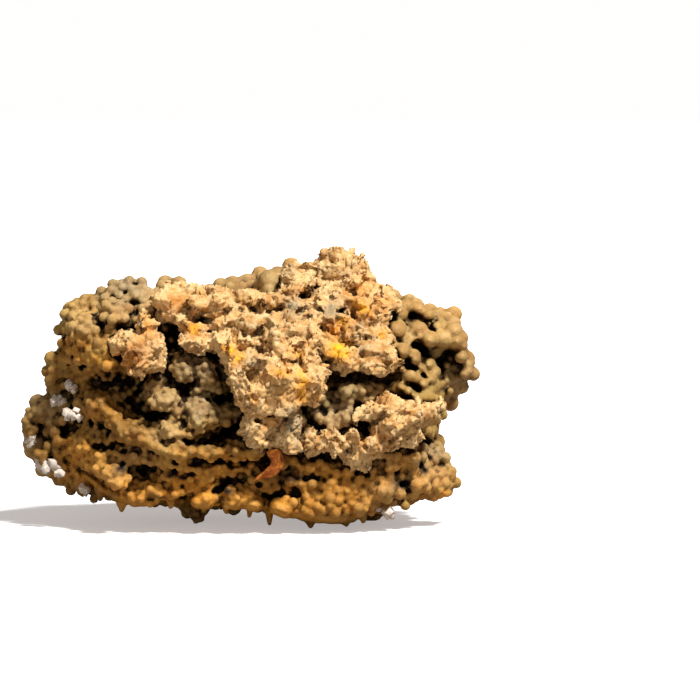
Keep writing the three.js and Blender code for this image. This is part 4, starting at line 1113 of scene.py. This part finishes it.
for piece in (crustFront, crustBack):
    points = storeDepths(piece)
    low = np.clip((9.0 - points[:, 2]) / 6.0, 0, 1) * np.clip((points[:, 1] + 2.0) / 8.0, 0, 1)
    for name, (stainsAndShade, strength, phase) in crustStainsAndShade.items():
        stainAndShade = np.maximum(stainAndShadeAt(points, stainsAndShade), strength * elsewhere(points, phase))
        storeField(piece, name, np.maximum(stainAndShade, 0.8 * low) if name == "golden" else stainAndShade)
    # The dark field is painted shade.
    storeField(piece, "dark", stainAndShadeAt(points, darkHoleShade, 0.2))
    storeField(piece, "waxy", smoothnessAt(points))
for piece in (rockUpper, rockLower, rockShoulder):
    points = storeDepths(piece, 0.5)
    for name, (stainsAndShade, wobble) in rockStains.items():
        storeField(piece, name, stainAndShadeAt(points, stainsAndShade, wobble))
storeDepths(flake)
print("fields stored")


# The crust's front is parted in four and its back is one piece, each a closed solid

frontDepth = crustSettings["front depth"]
crustCuts = {
    "crust_left": ((-60, -14.0), (-60, frontDepth)),
    "crust_middle_left": ((-14.0, 1.0), (-60, frontDepth)),
    "crust_middle_right": ((1.0, 15.0), (-60, frontDepth)),
    "crust_right": ((15.0, 60), (-60, frontDepth)),
    "crust_rear": ((-60, 60), (frontDepth - 0.4, 60)),
}


def mendFields(piece, source, cuts):
    # The points that a cut has made take the fields of the nearest point of the uncut mesh.
    points, whole = pointsOf(piece), pointsOf(source)
    near = np.zeros(len(points), dtype=bool)
    wide = np.zeros(len(whole), dtype=bool)
    for axis, cut in zip((0, 0, 1, 1), cuts):
        near |= np.abs(points[:, axis] - cut) < 0.01
        wide |= np.abs(whole[:, axis] - cut) < 0.4
    picked, near = np.flatnonzero(wide), np.flatnonzero(near)
    if not len(picked):
        return
    places = KDTree(len(picked))
    for i, index in enumerate(picked):
        places.insert(whole[index], i)
    places.balance()
    twins = picked[[places.find(points[i])[1] for i in near]]
    for name in ("crevice", "hump", *crustStainsAndShade, "dark", "waxy"):
        values, theirs = np.empty(len(points), np.float32), np.empty(len(whole), np.float32)
        piece.data.attributes[name].data.foreach_get("value", values)
        source.data.attributes[name].data.foreach_get("value", theirs)
        values[near] = theirs[twins]
        piece.data.attributes[name].data.foreach_set("value", values)


def cutOut(source, name, xSpan, ySpan):
    piece = copyOf(source, name)
    bpy.ops.object.select_all(action="DESELECT")
    bpy.ops.mesh.primitive_cube_add(size=1)
    block = bpy.context.object
    for vertex in block.data.vertices:
        vertex.co.x = xSpan[vertex.co.x > 0] * mm
        vertex.co.y = ySpan[vertex.co.y > 0] * mm
        vertex.co.z = (0.0, 60.0)[vertex.co.z > 0] * mm
    applied(piece, "BOOLEAN", operation="INTERSECT", object=block, solver="MANIFOLD")
    bpy.data.objects.remove(block)
    mendFields(piece, source, xSpan + ySpan)
    selectOnly(piece)
    bpy.ops.object.shade_smooth_by_angle(angle=math.radians(65))
    return piece


crusts = []
for name, (xSpan, ySpan) in crustCuts.items():
    source = crustBack if name == "crust_rear" else crustFront
    crusts.append(cutOut(source, name, xSpan, ySpan))
    print(name + ":", len(facesOf(crusts[-1])), "triangles")
bpy.data.objects.remove(crustFront)
bpy.data.objects.remove(crustBack)


# Materials

def newGroup(name, inputs, outputs):
    group = bpy.data.node_groups.new(name, "ShaderNodeTree")
    for label, kind, value in inputs:
        socket = group.interface.new_socket(label, in_out="INPUT", socket_type=kind)
        if value is not None:
            socket.default_value = value
    for label, kind in outputs:
        group.interface.new_socket(label, in_out="OUTPUT", socket_type=kind)
    return group, group.nodes.new("NodeGroupInput"), group.nodes.new("NodeGroupOutput")


def addNode(tree, kind, values=(), **settings):
    node = tree.nodes.new(kind)
    for key, value in settings.items():
        setattr(node, key, value)
    for key, value in dict(values).items():
        node.inputs[key].default_value = value
    return node


def feed(tree, socket, value):
    # The value is another socket, a plain colour or a number.
    if isinstance(value, bpy.types.NodeSocket):
        tree.links.new(value, socket)
    elif isinstance(value, tuple):
        socket.default_value = (*value, 1)
    else:
        socket.default_value = value


def mixColour(tree, factor, first, second):
    mix = tree.nodes.new("ShaderNodeMix")
    mix.data_type = "RGBA"
    for socket, value in ((mix.inputs[0], factor), (mix.inputs[6], first), (mix.inputs[7], second)):
        feed(tree, socket, value)
    return mix.outputs[2]


def calculate(tree, kind, *values):
    step = tree.nodes.new("ShaderNodeMath")
    step.operation = kind
    for socket, value in zip(step.inputs, values):
        feed(tree, socket, value)
    return step.outputs[0]


def partOf(tree, value, share):
    return calculate(tree, "MULTIPLY", value, share)


def spanned(tree, value, low, high):
    # 0 below the low value, 1 above the high one.
    step = addNode(tree, "ShaderNodeMapRange", interpolation_type="SMOOTHSTEP")
    for label, given in (("Value", value), ("From Min", low), ("From Max", high)):
        feed(tree, step.inputs[label], given)
    return step.outputs["Result"]


def fieldOf(tree, name):
    return addNode(tree, "ShaderNodeAttribute", attribute_name=name).outputs["Fac"]


def makeMottleGroup():
    # Patches of the given size in millimetres, from 0 to 1 between the low and the high value.
    group, given, result = newGroup(
        "mottle",
        [("Size", "NodeSocketFloat", 3.0), ("Low", "NodeSocketFloat", 0.4), ("High", "NodeSocketFloat", 0.6)],
        [("Mask", "NodeSocketFloat")],
    )
    place = addNode(group, "ShaderNodeTexCoord")
    noise = addNode(group, "ShaderNodeTexNoise", {"Detail": 4.0, "Roughness": 0.6})
    group.links.new(place.outputs["Object"], noise.inputs["Vector"])
    group.links.new(calculate(group, "DIVIDE", 1000.0, given.outputs["Size"]), noise.inputs["Scale"])
    mask = spanned(group, noise.outputs["Fac"], given.outputs["Low"], given.outputs["High"])
    group.links.new(mask, result.inputs["Mask"])
    return group


def makeCreviceGroup():
    # Painted shade darkens what lies deep and the pits between the knobs; dust, partly a painted highlight,
    # lightens what stands proud.
    group, given, result = newGroup(
        "shade_and_dusty_sheen",
        [
            ("Colour", "NodeSocketColor", (0.5, 0.5, 0.5, 1)),
            ("Dirt", "NodeSocketColor", (0.02, 0.01, 0.004, 1)),
            ("Dust", "NodeSocketColor", (0.7, 0.6, 0.4, 1)),
            ("Dust Amount", "NodeSocketFloat", 0.3),
            ("Start", "NodeSocketFloat", 0.25),
            ("End", "NodeSocketFloat", 0.75),
            ("Pit Dirt", "NodeSocketFloat", 0.6),
        ],
        [("Colour", "NodeSocketColor")],
    )
    deep, hump = fieldOf(group, "crevice"), fieldOf(group, "hump")
    proud = spanned(group, hump, 0.5, 0.95)
    pit = spanned(group, calculate(group, "SUBTRACT", 1.0, hump), 0.5, 0.95)
    dust_and_sheen = partOf(group, proud, given.outputs["Dust Amount"])
    dustedAndSheened = mixColour(group, dust_and_sheen, given.outputs["Colour"], given.outputs["Dust"])
    pitShaded = mixColour(group, partOf(group, pit, given.outputs["Pit Dirt"]), dustedAndSheened, given.outputs["Dirt"])
    creviceShadeShare = spanned(group, deep, given.outputs["Start"], given.outputs["End"])
    group.links.new(mixColour(group, creviceShadeShare, pitShaded, given.outputs["Dirt"]), result.inputs["Colour"])
    return group


def makeGrainGroup():
    # Fine relief for a bump: rounded grains with a little noise over them. Sizes in millimetres.
    group, given, result = newGroup(
        "fine_grain",
        [("Size", "NodeSocketFloat", 0.4), ("Roundness", "NodeSocketFloat", 0.7)],
        [("Height", "NodeSocketFloat")],
    )
    place = addNode(group, "ShaderNodeTexCoord")
    cells = addNode(group, "ShaderNodeTexVoronoi", feature="SMOOTH_F1")
    noise = addNode(group, "ShaderNodeTexNoise", {"Detail": 5.0, "Roughness": 0.65})
    scale = calculate(group, "DIVIDE", 1000.0, given.outputs["Size"])
    for texture in (cells, noise):
        group.links.new(place.outputs["Object"], texture.inputs["Vector"])
        group.links.new(scale, texture.inputs["Scale"])
    dome = calculate(group, "SUBTRACT", 1.0, cells.outputs["Distance"])
    rounded = partOf(group, dome, given.outputs["Roundness"])
    height = calculate(group, "ADD", rounded, partOf(group, noise.outputs["Fac"], 0.6))
    group.links.new(height, result.inputs["Height"])
    return group


mottle, shadeAndDustySheen, fineGrain = makeMottleGroup(), makeCreviceGroup(), makeGrainGroup()


def placed(tree, group, **values):
    node = tree.nodes.new("ShaderNodeGroup")
    node.node_tree = group
    for key, value in values.items():
        feed(tree, node.inputs[key.replace("_", " ")], value)
    return node.outputs[0]


def newMaterial(name):
    material = bpy.data.materials.new(name)
    material.use_nodes = True
    tree = material.node_tree
    return material, tree, tree.nodes["Principled BSDF"]


def bumped(tree, shader, height, strength, distance):
    bump = addNode(tree, "ShaderNodeBump", {"Strength": strength, "Distance": distance * mm})
    tree.links.new(height, bump.inputs["Height"])
    tree.links.new(bump.outputs["Normal"], shader.inputs["Normal"])


crustLooks = {
    "brown": (0.260, 0.106, 0.018),
    "olive": (0.350, 0.222, 0.060),
    "golden": (0.560, 0.215, 0.024),
    "amber": (0.720, 0.330, 0.045),
    "grey": (0.250, 0.185, 0.095),
    "grey dust": (0.440, 0.330, 0.190),
    "pale": (0.700, 0.430, 0.170),
    # the colour of the painted shade in the recesses, and of the small random specks
    "umber": (0.110, 0.048, 0.010),
    # near-black painted shade for the crevices and the pits between the knobs
    "painted_shade": (0.012, 0.005, 0.0015),
    # the colour of the painted shade in the holes
    "black": (0.010, 0.008, 0.009),
    # dust on the proud knobs, partly a painted highlight
    "dust_and_sheen": (0.800, 0.540, 0.220),
}


def crustMaterial():
    looks = crustLooks
    material, tree, shader = newMaterial("mottramite_crust")
    broad = placed(tree, mottle, Size=5.0, Low=0.38, High=0.62)
    small = placed(tree, mottle, Size=1.3, Low=0.36, High=0.66)
    specks = placed(tree, mottle, Size=0.35, Low=0.5, High=0.72)
    base = mixColour(tree, broad, looks["brown"], looks["olive"])
    base = mixColour(tree, partOf(tree, small, 0.5), base, looks["olive"])
    gold = mixColour(tree, small, looks["golden"], looks["amber"])
    colour = mixColour(tree, fieldOf(tree, "golden"), base, gold)
    grey = mixColour(tree, small, looks["grey"], looks["grey dust"])
    colour = mixColour(tree, partOf(tree, fieldOf(tree, "grey"), 0.8), colour, grey)
    colour = mixColour(tree, partOf(tree, fieldOf(tree, "pale"), 0.75), colour, looks["pale"])
    # Painted shade: the umber field darkens the recesses and the ground under the ledges; elsewhere it gives
    # broad random patches on the sides and back.
    colour = mixColour(tree, partOf(tree, fieldOf(tree, "umber"), 0.85), colour, looks["umber"])
    colour = mixColour(tree, partOf(tree, specks, 0.3), colour, looks["umber"])
    # Painted shade in the crevices and in the pits between the knobs; dust, partly a painted highlight, on
    # what stands proud.
    colour = placed(
        tree, shadeAndDustySheen, Colour=colour, Dirt=looks["painted_shade"], Dust=looks["dust_and_sheen"],
        Dust_Amount=0.22, Start=0.2, End=0.6, Pit_Dirt=0.85,
    )
    # Painted shade, near black, in the deep holes and under the belly.
    colour = mixColour(tree, fieldOf(tree, "dark"), colour, looks["black"])
    tree.links.new(colour, shader.inputs["Base Color"])
    rough = addNode(tree, "ShaderNodeMapRange", {"To Min": 0.6, "To Max": 0.42})
    tree.links.new(fieldOf(tree, "waxy"), rough.inputs["Value"])
    tree.links.new(rough.outputs["Result"], shader.inputs["Roughness"])
    shader.inputs["Specular IOR Level"].default_value = 0.14
    bumped(tree, shader, placed(tree, fineGrain, Size=0.32, Roundness=0.7), 0.6, 0.16)
    return material


rockLooks = {
    "cream": (0.740, 0.470, 0.195),
    "tan": (0.500, 0.245, 0.068),
    "white": (0.920, 0.680, 0.370),
    "orange": (0.700, 0.250, 0.022),
    "yellow": (0.950, 0.470, 0.025),
    "rust": (0.220, 0.060, 0.010),
    "greyish": (0.300, 0.245, 0.150),
    "pit": (0.150, 0.065, 0.015),
    # near-black painted shade for the crevices and pits
    "painted_shade": (0.025, 0.010, 0.0025),
}


def rockMaterial():
    looks = rockLooks
    material, tree, shader = newMaterial("crumbly_host_rock")
    broad = placed(tree, mottle, Size=4.5, Low=0.4, High=0.62)
    small = placed(tree, mottle, Size=1.0, Low=0.4, High=0.66)
    grains = placed(tree, mottle, Size=0.3, Low=0.46, High=0.7)
    veins = placed(tree, mottle, Size=2.2, Low=0.58, High=0.68)
    colour = mixColour(tree, broad, looks["tan"], looks["cream"])
    colour = mixColour(tree, partOf(tree, small, 0.55), colour, looks["white"])
    colour = mixColour(tree, partOf(tree, veins, 0.3), colour, looks["orange"])
    colour = mixColour(tree, partOf(tree, grains, 0.3), colour, looks["tan"])
    pits = placed(tree, mottle, Size=0.55, Low=0.6, High=0.7)
    colour = mixColour(tree, partOf(tree, pits, 0.75), colour, looks["pit"])
    rough = calculate(tree, "ADD", 0.55, partOf(tree, small, 0.6))
    for field in rockStains:
        share = partOf(tree, fieldOf(tree, field), rough)
        colour = mixColour(tree, calculate(tree, "MINIMUM", share, 1.0), colour, looks[field])
    # Painted shade in the crevices and pits; pale dust, partly a painted highlight, on what stands proud.
    colour = placed(
        tree, shadeAndDustySheen, Colour=colour, Dirt=looks["painted_shade"], Dust=looks["white"],
        Dust_Amount=0.3, Start=0.34, End=0.85, Pit_Dirt=0.5,
    )
    tree.links.new(colour, shader.inputs["Base Color"])
    shader.inputs["Roughness"].default_value = 0.85
    shader.inputs["Specular IOR Level"].default_value = 0.08
    bumped(tree, shader, placed(tree, fineGrain, Size=0.28, Roundness=0.5), 0.7, 0.15)
    return material


calciteLooks = {
    "clear": (0.74, 0.66, 0.58),
    "cloudy": (0.62, 0.48, 0.36),
    "glow": 0.25,
    "glow depths": (0.9 * mm, 0.7 * mm, 0.5 * mm),
}


def calciteMaterial():
    looks = calciteLooks
    material, tree, shader = newMaterial("white_calcite")
    cloudy = placed(tree, mottle, Size=0.8, Low=0.4, High=0.65)
    tree.links.new(mixColour(tree, cloudy, looks["clear"], looks["cloudy"]), shader.inputs["Base Color"])
    shader.inputs["Roughness"].default_value = 0.28
    shader.inputs["Subsurface Weight"].default_value = looks["glow"]
    shader.inputs["Subsurface Radius"].default_value = looks["glow depths"]
    bumped(tree, shader, placed(tree, fineGrain, Size=0.3, Roundness=0.2), 0.2, 0.05)
    return material


rustLooks = {
    "rust": (0.240, 0.055, 0.008),
    "ochre": (0.470, 0.150, 0.018),
    "specks": (0.130, 0.040, 0.012),
}


def rustMaterial():
    looks = rustLooks
    material, tree, shader = newMaterial("iron_rust")
    patches = placed(tree, mottle, Size=1.1, Low=0.4, High=0.62)
    colour = mixColour(tree, patches, looks["rust"], looks["ochre"])
    colour = mixColour(tree, placed(tree, mottle, Size=0.3, Low=0.5, High=0.7), colour, looks["specks"])
    tree.links.new(colour, shader.inputs["Base Color"])
    shader.inputs["Roughness"].default_value = 0.6
    shader.inputs["Specular IOR Level"].default_value = 0.15
    bumped(tree, shader, placed(tree, fineGrain, Size=0.4, Roundness=0.4), 0.6, 0.12)
    return material


def dress(pieces, material):
    for piece in pieces:
        piece.data.materials.clear()
        piece.data.materials.append(material)
        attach(piece, "root")


dress(crusts, crustMaterial())
dress([rockUpper, rockLower, rockShoulder], rockMaterial())
dress(calcites.values(), calciteMaterial())
dress([flake], rustMaterial())
for piece in crusts:
    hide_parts("mottramite")
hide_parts("host_rock_upper")
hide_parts("host_rock_lower_right")
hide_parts("host_rock_shoulder")
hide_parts("rusty_flake")
for node, piece in calcites.items():
    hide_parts(node)
print("materials given")


# The stage

stageSettings = {
    "floor": (0.93, 0.93, 0.93),
    "floor glow": (0.34, 0.31, 0.28),  # what the floor throws back at the stone
    "floor veil": 0.42,  # keeps the shadow under the stone pale
    "floor tint": (1.0, 0.93, 0.90),
    "world": 0.10,
    "key": {"towards": (0.40, -0.52, 0.95), "angle": 9, "strength": 5.4},
    "fill": {"place": (-160, -480, 120), "size": 320, "watts": 0.35},
}


def aimedLight(name, place, size, watts):
    lamp = bpy.data.lights.new(name, "AREA")
    lamp.shape = "DISK"
    lamp.size = size * mm
    lamp.energy = watts
    light = bpy.data.objects.new(name, lamp)
    bpy.context.collection.objects.link(light)
    light.location = Vector(place) * mm
    light.rotation_euler = (Vector((0, 0, 18)) * mm - light.location).to_track_quat("-Z", "Y").to_euler()


def floorMaterial():
    material, tree, shader = newMaterial("pale_floor")
    seen = tree.nodes.new("ShaderNodeLightPath").outputs["Is Camera Ray"]
    colour = mixColour(tree, seen, stageSettings["floor glow"], stageSettings["floor"])
    tree.links.new(colour, shader.inputs["Base Color"])
    shader.inputs["Roughness"].default_value = 0.7
    shader.inputs["Specular IOR Level"].default_value = 0.0
    shader.inputs["Emission Color"].default_value = (*stageSettings["floor tint"], 1)
    veil = partOf(tree, seen, stageSettings["floor veil"])
    tree.links.new(veil, shader.inputs["Emission Strength"])
    return material


def buildStage():
    bpy.ops.object.select_all(action="DESELECT")
    bpy.ops.mesh.primitive_plane_add(size=8)
    floor = bpy.context.object
    floor.name = "floor"
    floor.data.materials.append(floorMaterial())
    key = stageSettings["key"]
    lamp = bpy.data.lights.new("key", "SUN")
    lamp.angle = math.radians(key["angle"])
    lamp.energy = key["strength"]
    light = bpy.data.objects.new("key", lamp)
    bpy.context.collection.objects.link(light)
    light.location = Vector(key["towards"]) * 0.6
    light.rotation_euler = Vector(key["towards"]).to_track_quat("Z", "Y").to_euler()
    aimedLight("fill", **stageSettings["fill"])
    world = bpy.data.worlds.new("studio")
    bpy.context.scene.world = world
    world.use_nodes = True
    tree = world.node_tree
    tree.nodes.clear()
    output = tree.nodes.new("ShaderNodeOutputWorld")
    lit = tree.nodes.new("ShaderNodeBackground")
    lit.inputs["Strength"].default_value = stageSettings["world"]
    seen = tree.nodes.new("ShaderNodeBackground")
    seen.inputs["Strength"].default_value = 1.0
    for sky in (lit, seen):
        sky.inputs["Color"].default_value = (1, 0.995, 0.985, 1)
    path = tree.nodes.new("ShaderNodeLightPath")
    blend = tree.nodes.new("ShaderNodeMixShader")
    tree.links.new(path.outputs["Is Camera Ray"], blend.inputs["Fac"])
    tree.links.new(lit.outputs[0], blend.inputs[1])
    tree.links.new(seen.outputs[0], blend.inputs[2])
    tree.links.new(blend.outputs[0], output.inputs["Surface"])
    bpy.context.scene.view_settings.view_transform = "Standard"


buildStage()
